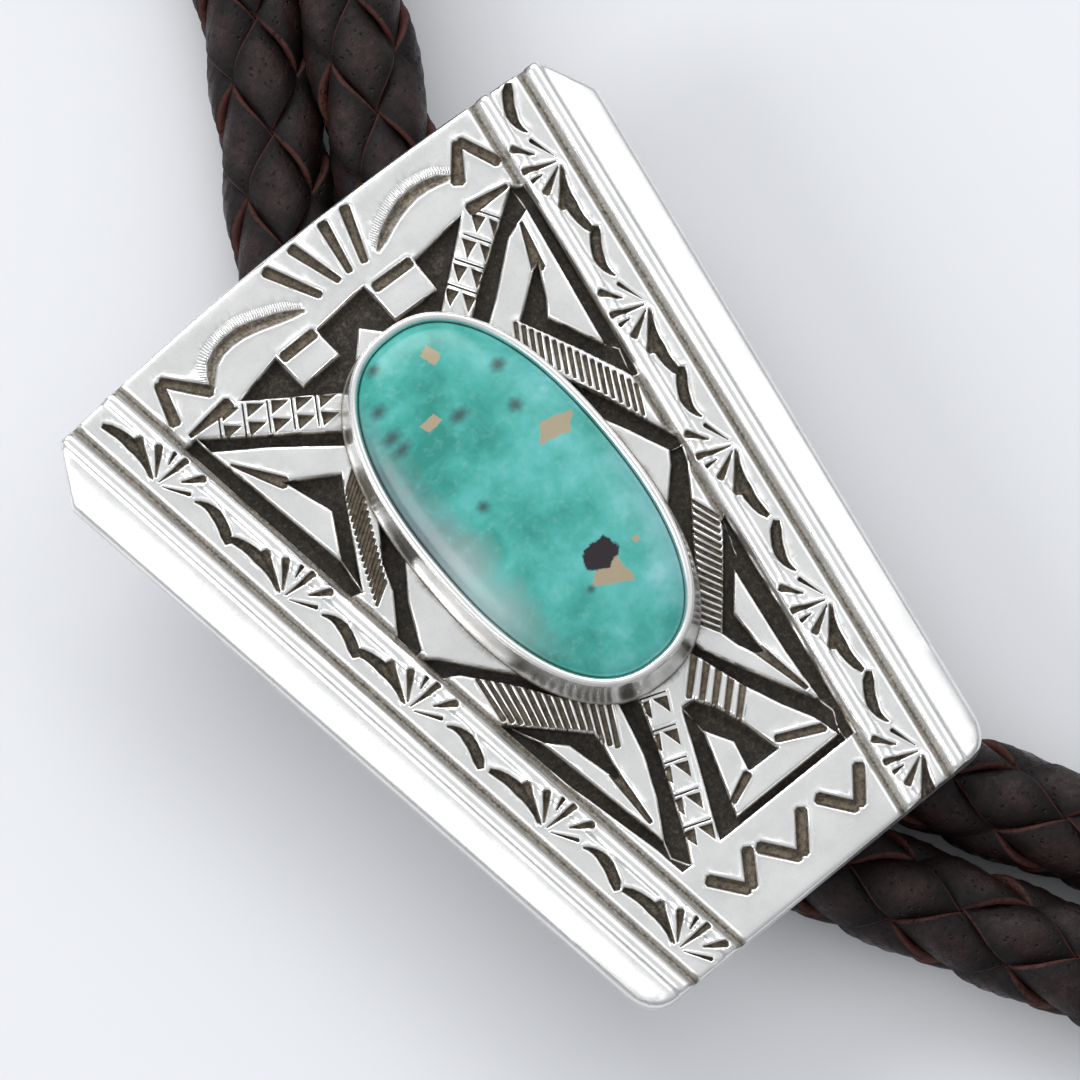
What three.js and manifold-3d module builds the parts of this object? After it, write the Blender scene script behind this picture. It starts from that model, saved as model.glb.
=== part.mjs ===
// A bolo tie: a stamped silver slide with an oval turquoise cabochon on a round-braided leather cord.
// Millimetres, +Z up. The tie lies face up. The slide's axis runs along Y, with its wide end at +Y.
// The origin is on the flat underside of the cord clip, below the middle of the slide.
import * as THREE from 'three';
import { mergeVertices } from 'three/addons/utils/BufferGeometryUtils.js';
import Module from 'manifold-3d';

const wasm = await Module();
wasm.setup();

// The slide's outline
const slideLength = 50;
const slideTopWidth = 41.8;
const slideBottomWidth = 26;
const topEdgeArch = 0.9;
const topCornerCut = 3.4;
const topCornerShare = 0.75;
const bottomCornerCut = 2.2;
const bottomCornerShare = 0.85;
const outlineSteps = 10;

// The two silver sheets, one soldered on the other
const baseSheet = 0.85;
const overlaySheet = 0.85;

// The stamped side bands, each between two grooves with a raised bead outside each groove
const panelTopWidth = 27.4;
const panelBottomWidth = 12.4;
const bandWidth = 3.55;
const grooveWidth = 0.66;
const grooveDepth = 0.35;
const beadWidth = 1;
const beadHeight = 0.32;
const flangeDrop = 0.9;

// Chisel and stamp work
const chiselWidth = 0.5;
const stampDepth = 0.28;
const fanReach = 3.1;
const rayStart = 0.3;
const scallopWidth = 0.4;
const crescentWidth = 0.65;
const hatchWidth = 0.22;
const hatchDepth = 0.14;

// The cabochon and the plain bezel wall that holds it
const stoneLength = 24.8;
const stoneWidth = 12.5;
const stoneFullness = 2.35;
const stoneAcross = 0.25;
const stoneAlong = 3.5;
const stoneCrown = 1.3;
const bezelHeight = 3.6;
const bezelWall = 0.55;
const bezelFlare = 0.55;
const girdleDrop = 0.43;
const backBevel = 0.3;
const ovalSides = 56;

// The leather cord, its clip behind the slide and its metal tips
const cordDiameter = 7;
const clipWall = 1;
const clipLength = 16;
const tipLength = 30;
const tipWall = 0.4;
const tipPointDiameter = 4.6;
const tipSides = 16;

// How the cord lies: its lean off the slide's axis, and the neck loop's size
const cordLean = 28.6;
const bendRadius = 22.35;
const upperBendStart = 12;
const lowerBendStart = 7.25;
const loopLength = 224;
const loopWidth = 154;
const tailLength = 27;
const tailSwing = 1.5;
const runOverlap = 0.5;
const cordSides = 10;
const neckSteps = 76;
const tailSteps = 8;

// The small gap between pieces that touch
const gap = 0.3;

const cordRadius = cordDiameter / 2;
const clipInside = cordDiameter + 2 * gap;
const clipHeight = clipInside + 2 * clipWall;
const clipWidth = 2 * cordDiameter + 3 * gap + 2 * clipWall;
const clipCordHeight = clipWall + gap + cordRadius;
const lane = cordRadius + gap / 2;
const runLift = Math.sqrt(runOverlap * (4 * lane - runOverlap));
const slideBack = clipHeight + gap;
const slideFace = slideBack + baseSheet + overlaySheet;
const recessFloor = slideFace - overlaySheet;
const rimTop = slideFace + bezelHeight;

const colours = {
  silver: { color: 0xd9dadd, roughness: 0.25, metalness: 1 },
  turquoise: { color: 0x54b0a6, roughness: 0.3, metalness: 0 },
  leather: { color: 0x33292a, roughness: 0.5, metalness: 0 },
  nickel: { color: 0xb9babb, roughness: 0.35, metalness: 1 },
};

function halfWidthAt(topWidth, bottomWidth, y) {
  const up = y / slideLength + 0.5;
  return (bottomWidth + (topWidth - bottomWidth) * up) / 2;
}

function panelHalf(y) {
  return halfWidthAt(panelTopWidth, panelBottomWidth, y);
}

// A place on the slide from two shares: across of the panel's half width there, along of half the length
function spot([across, along]) {
  const y = along * slideLength / 2;
  return new THREE.Vector2(across * panelHalf(y), y);
}

// Joining and cutting

function toSolid(geometry) {
  const bare = geometry.clone();
  bare.deleteAttribute('normal');
  bare.deleteAttribute('uv');
  const merged = mergeVertices(bare, 1e-5);
  return new wasm.Manifold(new wasm.Mesh({
    numProp: 3,
    vertProperties: Float32Array.from(merged.attributes.position.array),
    triVerts: Uint32Array.from(merged.index.array),
  }));
}

function toGeometry(solid) {
  const mesh = solid.getMesh();
  const geometry = new THREE.BufferGeometry();
  geometry.setAttribute('position', new THREE.BufferAttribute(mesh.vertProperties, 3));
  geometry.setIndex(new THREE.BufferAttribute(mesh.triVerts, 1));
  return geometry;
}

function joinAll(solids) {
  return solids.reduce((joined, solid) => joined.add(solid));
}

// A closed solid through a row of rings, each a list of points with the same count, ends filled flat
function loft(rings) {
  const count = rings[0].length;
  const positions = rings.flat().flatMap((point) => [point.x, point.y, point.z]);
  const indices = [];
  for (let ring = 0; ring + 1 < rings.length; ring += 1) {
    for (let side = 0; side < count; side += 1) {
      const here = ring * count + side;
      const next = ring * count + (side + 1) % count;
      indices.push(here, next, next + count, here, next + count, here + count);
    }
  }
  const fill = (ring, flip) => {
    const first = rings[ring];
    const origin = first[0];
    const across = first[1].clone().sub(origin).normalize();
    const flat = first.map((point) => point.clone().sub(origin));
    const normal = new THREE.Vector3();
    flat.forEach((point, index) => normal.add(point.clone().cross(flat[(index + 1) % count])));
    const up = normal.normalize().clone().cross(across);
    const contour = flat.map((point) => new THREE.Vector2(point.dot(across), point.dot(up)));
    for (const [a, b, c] of THREE.ShapeUtils.triangulateShape(contour, [])) {
      const corners = [a, b, c].map((corner) => corner + ring * count);
      indices.push(...(flip ? corners.reverse() : corners));
    }
  };
  fill(0, true);
  fill(rings.length - 1, false);
  const geometry = new THREE.BufferGeometry();
  geometry.setAttribute('position', new THREE.Float32BufferAttribute(positions, 3));
  geometry.setIndex(indices);
  return geometry;
}

function prism(outline, low, high) {
  const geometry = new THREE.ExtrudeGeometry(new THREE.Shape(outline), {
    depth: high - low, bevelEnabled: false,
  });
  geometry.translate(0, 0, low);
  return toSolid(geometry);
}

// The slide: blank, side bands and flanges

// The raised bead's rounded back: across in bead widths, up in bead heights
const beadRows = [
  { across: 0.22, up: 0.8 },
  { across: 0.5, up: 1 },
  { across: 0.78, up: 0.7 },
];

// Half of the slide's cross-section at one height along it, from the middle outward
function faceProfile(y) {
  const profile = [new THREE.Vector2(0, slideFace)];
  for (const line of [panelHalf(y), panelHalf(y) + bandWidth]) {
    const foot = line + grooveWidth / 2;
    profile.push(
      new THREE.Vector2(line - grooveWidth / 2, slideFace),
      new THREE.Vector2(line, slideFace - grooveDepth),
      new THREE.Vector2(foot, slideFace),
      ...beadRows.map(({ across, up }) => (
        new THREE.Vector2(foot + beadWidth * across, slideFace + beadHeight * up))),
      new THREE.Vector2(foot + beadWidth, slideFace),
    );
  }
  const edge = halfWidthAt(slideTopWidth, slideBottomWidth, y);
  profile.push(new THREE.Vector2(edge, slideFace - flangeDrop));
  profile.push(new THREE.Vector2(edge, slideBack - flangeDrop / 2));
  profile.push(new THREE.Vector2(panelHalf(y) + bandWidth, slideBack));
  return profile;
}

function slideBlank() {
  const ring = (y) => {
    const half = faceProfile(y).map((point) => new THREE.Vector3(point.x, y, point.y));
    const mirrored = half.slice(1).reverse().map((point) => new THREE.Vector3(-point.x, y, point.z));
    return [...mirrored, ...half];
  };
  return toSolid(loft([ring(-slideLength / 2), ring(slideLength / 2)]));
}

function slideOutline() {
  const end = slideLength / 2;
  const topSide = end - topEdgeArch - topCornerCut;
  const bottomSide = -end + bottomCornerCut;
  const widthHalf = (y) => halfWidthAt(slideTopWidth, slideBottomWidth, y);
  const topCorner = widthHalf(end) - topCornerCut * topCornerShare;
  const bottomCorner = widthHalf(-end) - bottomCornerCut * bottomCornerShare;
  const outline = new THREE.Shape();
  outline.moveTo(bottomCorner, -end);
  outline.quadraticCurveTo(widthHalf(-end), -end, widthHalf(bottomSide), bottomSide);
  outline.lineTo(widthHalf(topSide), topSide);
  outline.lineTo(topCorner, end - topEdgeArch);
  outline.quadraticCurveTo(0, end + topEdgeArch, -topCorner, end - topEdgeArch);
  outline.lineTo(-widthHalf(topSide), topSide);
  outline.lineTo(-widthHalf(bottomSide), bottomSide);
  outline.quadraticCurveTo(-widthHalf(-end), -end, -bottomCorner, -end);
  return outline;
}

// The overlay's pierced recesses, each an outline of shares across and along

const recesses = [
  { name: 'left side channel',
    outline: [[-1, 0.765], [-1, 0.235], [-0.94, 0.225], [-0.89, 0.32], [-0.93, 0.715], [-0.93, 0.765]] },
  { name: 'left ladder channel',
    outline: [[-0.93, 0.766], [-0.36, 0.545], [-0.38, 0.5], [-0.725, 0.64], [-0.93, 0.716]] },
  { name: 'left kite',
    outline: [[-0.8, 0.556], [-0.555, 0.482], [-0.735, 0.36], [-0.94, 0.225], [-0.89, 0.32],
      [-0.735, 0.424]] },
  { name: 'left upper rhomb channel',
    outline: [[-0.52, 0.36], [-0.583, 0.344], [-0.75, 0.25], [-0.82, 0.184], [-1, 0.09], [-1, 0.028],
      [-0.96, 0.028], [-0.8, 0.14], [-0.62, 0.236], [-0.52, 0.24]] },
  { name: 'left lower rhomb channel',
    outline: [[-1, 0.016], [-0.93, -0.012], [-0.62, -0.18], [-0.48, -0.25], [-0.45, -0.31],
      [-0.57, -0.272], [-0.71, -0.188], [-0.92, -0.076], [-1, -0.056]] },
  { name: 'left lower side channel',
    outline: [[-0.985, -0.228], [-0.98, -0.44], [-0.89, -0.7], [-0.884, -0.776], [-0.777, -0.776],
      [-0.792, -0.688], [-0.84, -0.48], [-0.873, -0.33], [-0.95, -0.236]] },
  { name: 'left lower leg',
    outline: [[-0.777, -0.776], [-0.654, -0.72], [-0.348, -0.532], [-0.189, -0.4], [-0.21, -0.35],
      [-0.3, -0.35], [-0.431, -0.5], [-0.592, -0.6], [-0.792, -0.688], [-0.85, -0.73]] },
  { name: 'left lower kite',
    outline: [[-0.96, -0.235], [-0.575, -0.384], [-0.59, -0.42], [-0.655, -0.5], [-0.71, -0.504],
      [-0.765, -0.372], [-0.873, -0.33]] },
  { name: 'step recess over the stone',
    outline: [[-0.67, 0.772], [-0.397, 0.8], [-0.395, 0.704], [-0.17, 0.71], [-0.175, 0.79],
      [0.13, 0.804], [0.147, 0.69], [0.389, 0.685], [0.385, 0.775], [0.7, 0.79], [0.31, 0.62],
      [0.17, 0.6], [0.11, 0.66], [-0.017, 0.728], [-0.165, 0.652], [-0.22, 0.6], [-0.264, 0.624]] },
  { name: 'right side channel',
    outline: [[1.02, 0.75], [1.02, 0.22], [0.975, 0.225], [0.94, 0.33], [0.965, 0.7], [0.95, 0.77]] },
  { name: 'right ladder channel',
    outline: [[0.96, 0.77], [0.806, 0.712], [0.579, 0.632], [0.36, 0.545], [0.38, 0.5], [0.59, 0.572],
      [0.816, 0.672], [0.97, 0.7]] },
  { name: 'right kite',
    outline: [[0.88, 0.584], [0.832, 0.576], [0.631, 0.496], [0.806, 0.36], [0.943, 0.252],
      [0.975, 0.225], [1, 0.3], [0.942, 0.332], [0.769, 0.464], [0.812, 0.5]] },
  { name: 'right upper rhomb channel',
    outline: [[0.52, 0.36], [0.63, 0.344], [0.777, 0.236], [0.922, 0.12], [1.02, 0.048], [1.02, 0.02],
      [0.935, 0.028], [0.789, 0.132], [0.657, 0.224], [0.52, 0.24]] },
  { name: 'right lower rhomb channel',
    outline: [[1.02, 0.022], [0.996, -0.02], [0.896, -0.092], [0.77, -0.168], [0.657, -0.24],
      [0.55, -0.25], [0.56, -0.18], [0.7, -0.088], [0.894, 0], [0.933, 0.03]] },
  { name: 'right lower side channel',
    outline: [[1.02, -0.172], [1.02, -0.5], [1, -0.775], [0.9, -0.776], [0.895, -0.656], [0.87, -0.52],
      [0.875, -0.296], [0.97, -0.18]] },
  { name: 'right lower leg',
    outline: [[0.277, -0.345], [0.306, -0.384], [0.466, -0.52], [0.619, -0.612], [0.78, -0.688],
      [0.88, -0.76], [0.95, -0.7], [0.9, -0.66], [0.771, -0.6], [0.572, -0.5], [0.39, -0.396],
      [0.349, -0.345]] },
  { name: 'right lower kite',
    outline: [[1, -0.175], [0.718, -0.32], [0.557, -0.392], [0.608, -0.44], [0.673, -0.48],
      [0.747, -0.488], [0.711, -0.372], [0.875, -0.296], [0.95, -0.26]] },
  { name: 'middle triangle, left leg and base',
    outline: [[0.015, -0.47], [-0.01, -0.48], [-0.177, -0.6], [-0.471, -0.774], [0.91, -0.776],
      [0.9, -0.752], [-0.215, -0.752], [0.023, -0.548], [0.112, -0.472]] },
  { name: 'middle triangle, right leg',
    outline: [[0.015, -0.47], [0.023, -0.548], [0.149, -0.612], [0.096, -0.688], [0.403, -0.692],
      [0.317, -0.6], [0.216, -0.52], [0.112, -0.472]] },
];

function piercedRecesses() {
  return joinAll(recesses.map(({ outline }) => prism(outline.map(spot), recessFloor, rimTop)));
}

// Chisel lines and stamps, shallow cuts in the face

// A cut with a V section along a line, as wide as its ends say
function vCut(from, to, fromWidth, toWidth, depth) {
  const aim = to.clone().sub(from).normalize();
  const aside = new THREE.Vector2(-aim.y, aim.x);
  const above = slideFace + beadHeight + gap;
  const flare = (above - slideFace + depth) / depth;
  const ring = (place, width) => {
    const reach = aside.clone().multiplyScalar(width / 2 * flare);
    return [
      new THREE.Vector3(place.x - reach.x, place.y - reach.y, above),
      new THREE.Vector3(place.x, place.y, slideFace - depth),
      new THREE.Vector3(place.x + reach.x, place.y + reach.y, above),
    ];
  };
  return toSolid(loft([ring(from, fromWidth), ring(to, toWidth)]));
}

// Lines across and along in shares, widths in chisel widths
const chiselLines = [
  { name: 'ray 1', from: [-0.18, 0.983], to: [-0.05, 0.844], start: 1.1, end: 0.8 },
  { name: 'ray 2', from: [-0.025, 0.987], to: [0.057, 0.844], start: 1.1, end: 0.7 },
  { name: 'ray 3', from: [0.157, 0.988], to: [0.117, 0.844], start: 1.1, end: 0.7 },
  { name: 'ray 4', from: [0.28, 0.985], to: [0.197, 0.84], start: 1.1, end: 0.8 },
  { name: 'left zigzag, low', from: [-0.955, 0.816], to: [-0.86, 0.93], start: 1.2, end: 1 },
  { name: 'left zigzag, high', from: [-0.86, 0.93], to: [-0.715, 0.825], start: 1, end: 1.2 },
  { name: 'right zigzag, high', from: [0.86, 0.935], to: [0.75, 0.845], start: 1, end: 1.4 },
  { name: 'right zigzag, low', from: [0.86, 0.935], to: [0.975, 0.825], start: 1, end: 1.1 },
  { name: 'left taper', from: [-0.95, 0.778], to: [-0.69, 0.782], start: 0.5, end: 1.3 },
  { name: 'right taper', from: [0.95, 0.772], to: [0.72, 0.784], start: 0.5, end: 1.3 },
  { name: 'left step line', from: [-0.39, 0.786], to: [-0.18, 0.786], start: 1.1, end: 1.1 },
  { name: 'right step line', from: [0.15, 0.78], to: [0.38, 0.775], start: 1.1, end: 1.1 },
  { name: 'left kite line', from: [-0.915, 0.664], to: [-0.79, 0.54], start: 0.3, end: 1.2 },
  { name: 'right kite line', from: [0.91, 0.684], to: [0.855, 0.56], start: 0.4, end: 1.3 },
  { name: 'left lower kite line', from: [-0.765, -0.64], to: [-0.685, -0.48], start: 0.5, end: 1 },
  { name: 'right lower kite line', from: [0.86, -0.625], to: [0.7, -0.47], start: 0.5, end: 1 },
  { name: 'middle right line', from: [0.41, -0.668], to: [0.825, -0.724], start: 0.8, end: 0.9 },
  { name: 'middle left line', from: [-0.185, -0.724], to: [0.09, -0.69], start: 0.7, end: 0.9 },
  { name: 'chevron 1, left', from: [-0.8, -0.824], to: [-0.57, -0.914], start: 1.2, end: 1.2 },
  { name: 'chevron 1, right', from: [-0.57, -0.914], to: [-0.33, -0.824], start: 1.2, end: 1.2 },
  { name: 'chevron 2, left', from: [-0.28, -0.838], to: [-0.02, -0.93], start: 1.2, end: 1.2 },
  { name: 'chevron 2, right', from: [-0.02, -0.93], to: [0.25, -0.832], start: 1.2, end: 1.2 },
  { name: 'chevron 3, left', from: [0.39, -0.836], to: [0.67, -0.924], start: 1.2, end: 1.2 },
  { name: 'chevron 3, right', from: [0.67, -0.924], to: [0.89, -0.836], start: 1.2, end: 1.2 },
];

// Fields of short parallel lines: the first and last line's ends in shares, and how many lines
const hatchedStrips = [
  { name: 'left upper feather', lines: 12, fromFirst: [-0.6, 0.44], fromLast: [-0.925, 0.184],
    toFirst: [-0.49, 0.472], toLast: [-0.83, 0.208] },
  { name: 'right upper feather', lines: 11, fromFirst: [0.555, 0.452], fromLast: [0.922, 0.144],
    toFirst: [0.6, 0.492], toLast: [0.961, 0.192] },
  { name: 'left lower feather', lines: 11, fromFirst: [-0.876, -0.128], fromLast: [-0.372, -0.356],
    toFirst: [-0.93, -0.208], toLast: [-0.5, -0.43] },
  { name: 'right lower feather', lines: 11, fromFirst: [0.897, -0.112], fromLast: [0.473, -0.34],
    toFirst: [0.958, -0.16], toLast: [0.579, -0.396] },
  { name: 'middle hatching', lines: 5, fromFirst: [0.13, -0.45], fromLast: [0.3, -0.572],
    toFirst: [0.3, -0.395], toLast: [0.478, -0.516] },
];

// The rays of one fan stamp: the turn from straight inward, where each starts and ends in fan reaches,
// and its width in chisel widths
const fanRays = [
  { turn: 64, start: 0.1, end: 1, wide: 1 },
  { turn: 36, start: 0.13, end: 0.78, wide: 0.7 },
  { turn: 9, start: 0.46, end: 0.74, wide: 0.4 },
  { turn: -11, start: 0.08, end: 0.8, wide: 0.6 },
  { turn: -42, start: 0.5, end: 1, wide: 0.7 },
  { turn: -64, start: 0.15, end: 0.72, wide: 0.35 },
];

// The scallop stamps beside each fan: three places on a bow, inward and along in fan reaches
const scallops = [
  { name: 'near scallop', places: [[0.05, 0.42], [0.3, 1], [0.17, 1.52]] },
  { name: 'far scallop', places: [[0.24, -0.82], [0.34, -1.2], [0.11, -1.7]] },
];

const fansAlong = [0.74, 0.336, -0.06, -0.49, -0.91];

// One small triangle of a ladder's pair: where it starts and ends aside, how far it climbs and its
// widths, all in chisel widths
const ladderMark = { start: 0.3, end: 1.5, climb: 0.8, point: 0.3, wide: 1.3 };

// Pairs of small triangles stamped up a bar: the bar's two ends in shares, and how many pairs
const ladders = [
  { name: 'left ladder', pairs: 5, first: [-0.76, 0.742], last: [-0.38, 0.62] },
  { name: 'right ladder', pairs: 4, first: [0.75, 0.73], last: [0.44, 0.63] },
  { name: 'lower ladder', pairs: 5, first: [-0.15, -0.43], last: [-0.565, -0.735] },
];

function mixed(from, to, share) {
  return [0, 1].map((axis) => from[axis] + (to[axis] - from[axis]) * share);
}

function chiselCuts() {
  return chiselLines.map(({ from, to, start, end }) => (
    vCut(spot(from), spot(to), start * chiselWidth, end * chiselWidth, stampDepth)));
}

function hatchCuts() {
  return hatchedStrips.flatMap(({ lines, fromFirst, fromLast, toFirst, toLast }) => (
    Array.from({ length: lines }, (_, line) => {
      const share = line / (lines - 1);
      const from = spot(mixed(fromFirst, fromLast, share));
      const to = spot(mixed(toFirst, toLast, share));
      return vCut(from, to, hatchWidth, hatchWidth, hatchDepth);
    })));
}

// One fan with its scallops, on the left or the right band; the right one is the stamp turned half round
function fanCuts(along, side) {
  const y = along * slideLength / 2;
  const lean = (panelTopWidth - panelBottomWidth) / 2 / slideLength;
  const apex = new THREE.Vector2(side * (panelHalf(y) + bandWidth - grooveWidth), y);
  const inward = new THREE.Vector2(-side, lean).normalize();
  const upward = new THREE.Vector2(-inward.y, inward.x);
  const place = (inShare, alongShare) => apex.clone()
    .addScaledVector(inward, inShare * fanReach)
    .addScaledVector(upward, alongShare * fanReach);
  const rays = fanRays.map(({ turn, start, end, wide }) => {
    const angle = THREE.MathUtils.degToRad(turn);
    const at = (reach) => place(reach * Math.cos(angle), reach * Math.sin(angle));
    return vCut(at(start), at(end), rayStart * wide * chiselWidth, wide * chiselWidth, stampDepth);
  });
  const bows = scallops.flatMap(({ places }) => [0, 1].map((part) => (
    vCut(place(...places[part]), place(...places[part + 1]), scallopWidth, scallopWidth, stampDepth))));
  return [...rays, ...bows];
}

function ladderCuts() {
  return ladders.flatMap(({ pairs, first, last }) => {
    const climb = spot(last).sub(spot(first)).normalize();
    const aside = new THREE.Vector2(-climb.y, climb.x);
    return Array.from({ length: pairs }, (_, pair) => {
      const middle = spot(mixed(first, last, pair / (pairs - 1)));
      return [-1, 1].map((half) => {
        const from = middle.clone().addScaledVector(aside, half * ladderMark.start * chiselWidth);
        const to = middle.clone().addScaledVector(aside, half * ladderMark.end * chiselWidth)
          .addScaledVector(climb, ladderMark.climb * chiselWidth);
        return vCut(from, to, ladderMark.point * chiselWidth, ladderMark.wide * chiselWidth, stampDepth);
      });
    }).flat();
  });
}

// Each crescent in the top border is a bow of short chisel cuts, in shares
const crescents = [
  { name: 'left crescent', places: [[-0.72, 0.83], [-0.62, 0.885], [-0.47, 0.9], [-0.3, 0.875],
    [-0.15, 0.842]] },
  { name: 'right crescent', places: [[0.27, 0.842], [0.4, 0.88], [0.55, 0.9], [0.68, 0.89],
    [0.76, 0.87]] },
];

function crescentCuts() {
  return crescents.flatMap(({ places }) => places.slice(1).map((to, part) => (
    vCut(spot(places[part]), spot(to), crescentWidth, crescentWidth, stampDepth))));
}

// The bezel and the stone

// An oval ring of points round the stone's centre, as an oval of the stone's own fullness
function oval(widthHalf, lengthHalf, z) {
  return Array.from({ length: ovalSides }, (_, side) => {
    const angle = side / ovalSides * 2 * Math.PI;
    const round = (value) => Math.sign(value) * Math.abs(value) ** (2 / stoneFullness);
    return new THREE.Vector3(
      stoneAcross + widthHalf * round(Math.cos(angle)),
      stoneAlong + lengthHalf * round(Math.sin(angle)),
      z,
    );
  });
}

function ovalSolid(rows) {
  return toSolid(loft(rows.map(({ grow, z }) => (
    oval(stoneWidth / 2 + grow, stoneLength / 2 + grow, z)))));
}

// The outside of the bezel wall: up in bezel heights, flared in bezel flares, rounded in bezel walls
const bezelRows = [
  { up: 0.05, flared: 1, rounded: 0 },
  { up: 0.35, flared: 0.35, rounded: 0 },
  { up: 0.9, flared: 0, rounded: 0 },
  { up: 1, flared: 0, rounded: 0.3 },
];

function bezelOuter() {
  const rim = gap + bezelWall;
  const foot = { grow: rim + bezelFlare, z: recessFloor - baseSheet / 2 };
  const wall = bezelRows.map(({ up, flared, rounded }) => (
    { grow: rim + flared * bezelFlare - rounded * bezelWall, z: slideFace + up * bezelHeight }));
  return ovalSolid([foot, ...wall]);
}

function bezelInner() {
  return ovalSolid([{ grow: gap, z: slideFace }, { grow: gap, z: rimTop + gap }]);
}

function slidePlate() {
  const cuts = [
    ...chiselCuts(),
    ...hatchCuts(),
    ...[-1, 1].flatMap((side) => fansAlong.flatMap((along) => fanCuts(along, side))),
    ...ladderCuts(),
    ...crescentCuts(),
  ];
  const blank = slideBlank().intersect(prism(slideOutline().getPoints(outlineSteps), 0, rimTop));
  const stamped = blank.subtract(joinAll(cuts)).subtract(piercedRecesses());
  return toGeometry(stamped.add(bezelOuter()).subtract(bezelInner()));
}

// The dome's rows, in shares of the way from the girdle to the middle
const domeShares = [0.3, 0.55, 0.78, 0.94];

function turquoiseStone() {
  const floor = slideFace + gap;
  const girdle = rimTop - girdleDrop;
  const rise = stoneCrown + girdleDrop;
  const dome = domeShares.map((share) => (
    { grow: -share * stoneWidth / 2, z: girdle + rise * Math.sqrt(1 - (1 - share) ** 2) }));
  return toGeometry(ovalSolid([
    { grow: -backBevel, z: floor },
    { grow: 0, z: floor + backBevel },
    { grow: 0, z: girdle },
    ...dome,
  ]));
}

// The clip: a plain sleeve behind the slide with both runs of the cord through it

function cordClip() {
  const shape = new THREE.Shape();
  shape.moveTo(-clipWidth / 2, 0);
  shape.lineTo(clipWidth / 2, 0);
  shape.lineTo(clipWidth / 2, clipHeight);
  shape.lineTo(-clipWidth / 2, clipHeight);
  shape.closePath();
  const inside = clipWidth / 2 - clipWall;
  const hole = new THREE.Path();
  hole.moveTo(-inside, clipWall);
  hole.lineTo(-inside, clipHeight - clipWall);
  hole.lineTo(inside, clipHeight - clipWall);
  hole.lineTo(inside, clipWall);
  hole.closePath();
  shape.holes.push(hole);
  const geometry = new THREE.ExtrudeGeometry(shape, { depth: clipLength, bevelEnabled: false });
  geometry.translate(0, 0, -clipLength / 2);
  geometry.rotateX(Math.PI / 2);
  return geometry;
}

// The cord: one neck loop and two tails

// A place beside the middle line between the two runs: the line leaves the clip straight, bends to the
// right by the lean, and goes on straight. Along starts at the bend's end, aside is to the right.
function besideBend(toward, bendStart, degrees, aside, along) {
  const turn = THREE.MathUtils.degToRad(degrees);
  const radius = bendRadius - aside;
  return [
    bendRadius - radius * Math.cos(turn) + along * Math.sin(turn),
    toward * (bendStart + radius * Math.sin(turn) + along * Math.cos(turn)),
  ];
}

// Shares of the lean reached, and of the way from the clip's height to the height at the straight's start
const bendRows = [
  { lean: 0, settled: 0 },
  { lean: 0.25, settled: 0.06 },
  { lean: 0.5, settled: 0.16 },
  { lean: 0.75, settled: 0.3 },
  { lean: 1, settled: 0.45 },
];

function bentRun(side, toward, bendStart, finalHeight) {
  const inClip = [side * lane, toward * gap / 2, clipCordHeight];
  const bend = bendRows.map(({ lean, settled }) => [
    ...besideBend(toward, bendStart, lean * cordLean, side * lane, 0),
    clipCordHeight + settled * (finalHeight - clipCordHeight),
  ]);
  return [inClip, ...bend];
}

// Half of the neck loop: along in loop lengths, opened in half loop widths, and how far the right run
// still lies on the left one
const loopRows = [
  { along: 0.076, opened: 0, lifted: 1 },
  { along: 0.13, opened: 0.012, lifted: 0.6 },
  { along: 0.21, opened: 0.11, lifted: 0.1 },
  { along: 0.326, opened: 0.376, lifted: 0 },
  { along: 0.433, opened: 0.69, lifted: 0 },
  { along: 0.536, opened: 0.904, lifted: 0 },
  { along: 0.656, opened: 1, lifted: 0 },
  { along: 0.777, opened: 0.932, lifted: 0 },
  { along: 0.879, opened: 0.74, lifted: 0 },
  { along: 0.96, opened: 0.468, lifted: 0 },
  { along: 1, opened: 0.155, lifted: 0 },
];

function loopRun(side) {
  return loopRows.map(({ along, opened, lifted }) => {
    const aside = lane - lifted * runOverlap / 2 + opened * (loopWidth / 2 - lane);
    const lift = side > 0 ? lifted * runLift : 0;
    const [x, y] = besideBend(1, upperBendStart, cordLean, 0, along * loopLength);
    const turn = THREE.MathUtils.degToRad(cordLean);
    return [
      x + side * aside * Math.cos(turn),
      y - side * aside * Math.sin(turn),
      cordRadius + lift,
    ];
  });
}

function neckRoute() {
  const left = [...bentRun(-1, 1, upperBendStart, cordRadius), ...loopRun(-1)];
  const right = [...bentRun(1, 1, upperBendStart, cordRadius + runLift), ...loopRun(1)];
  return [...left, ...right.reverse()];
}

// Each tail: shares of the tail's length along the lean, and of how far the right one swings out
const tails = [
  { name: 'left', side: -1, places: [[0.15, 0], [0.45, 0], [0.74, 0], [0.98, 0]] },
  { name: 'right', side: 1, places: [[0.3, 0], [0.6, 0.13], [0.81, 0.47], [1, 1]] },
];

function tailRoute({ side, places }) {
  const turn = THREE.MathUtils.degToRad(cordLean);
  const straight = places.map(([along, swing]) => {
    const [x, y] = besideBend(-1, lowerBendStart, cordLean, side * lane, along * tailLength);
    const aside = swing * tailSwing;
    return [x + aside * Math.cos(turn), y + aside * Math.sin(turn), cordRadius];
  });
  return [...bentRun(side, -1, lowerBendStart, cordRadius), ...straight];
}

function cordTube(route, steps) {
  const curve = new THREE.CatmullRomCurve3(
    route.map((place) => new THREE.Vector3(...place)), false, 'centripetal',
  );
  const section = new THREE.Shape();
  for (let side = 0; side < cordSides; side += 1) {
    const angle = (side + 0.5) / cordSides * 2 * Math.PI;
    const corner = [cordRadius * Math.cos(angle), cordRadius * Math.sin(angle)];
    if (side === 0) {
      section.moveTo(...corner);
    } else {
      section.lineTo(...corner);
    }
  }
  section.closePath();
  return new THREE.ExtrudeGeometry(section, { steps, extrudePath: curve, bevelEnabled: false });
}

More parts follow.
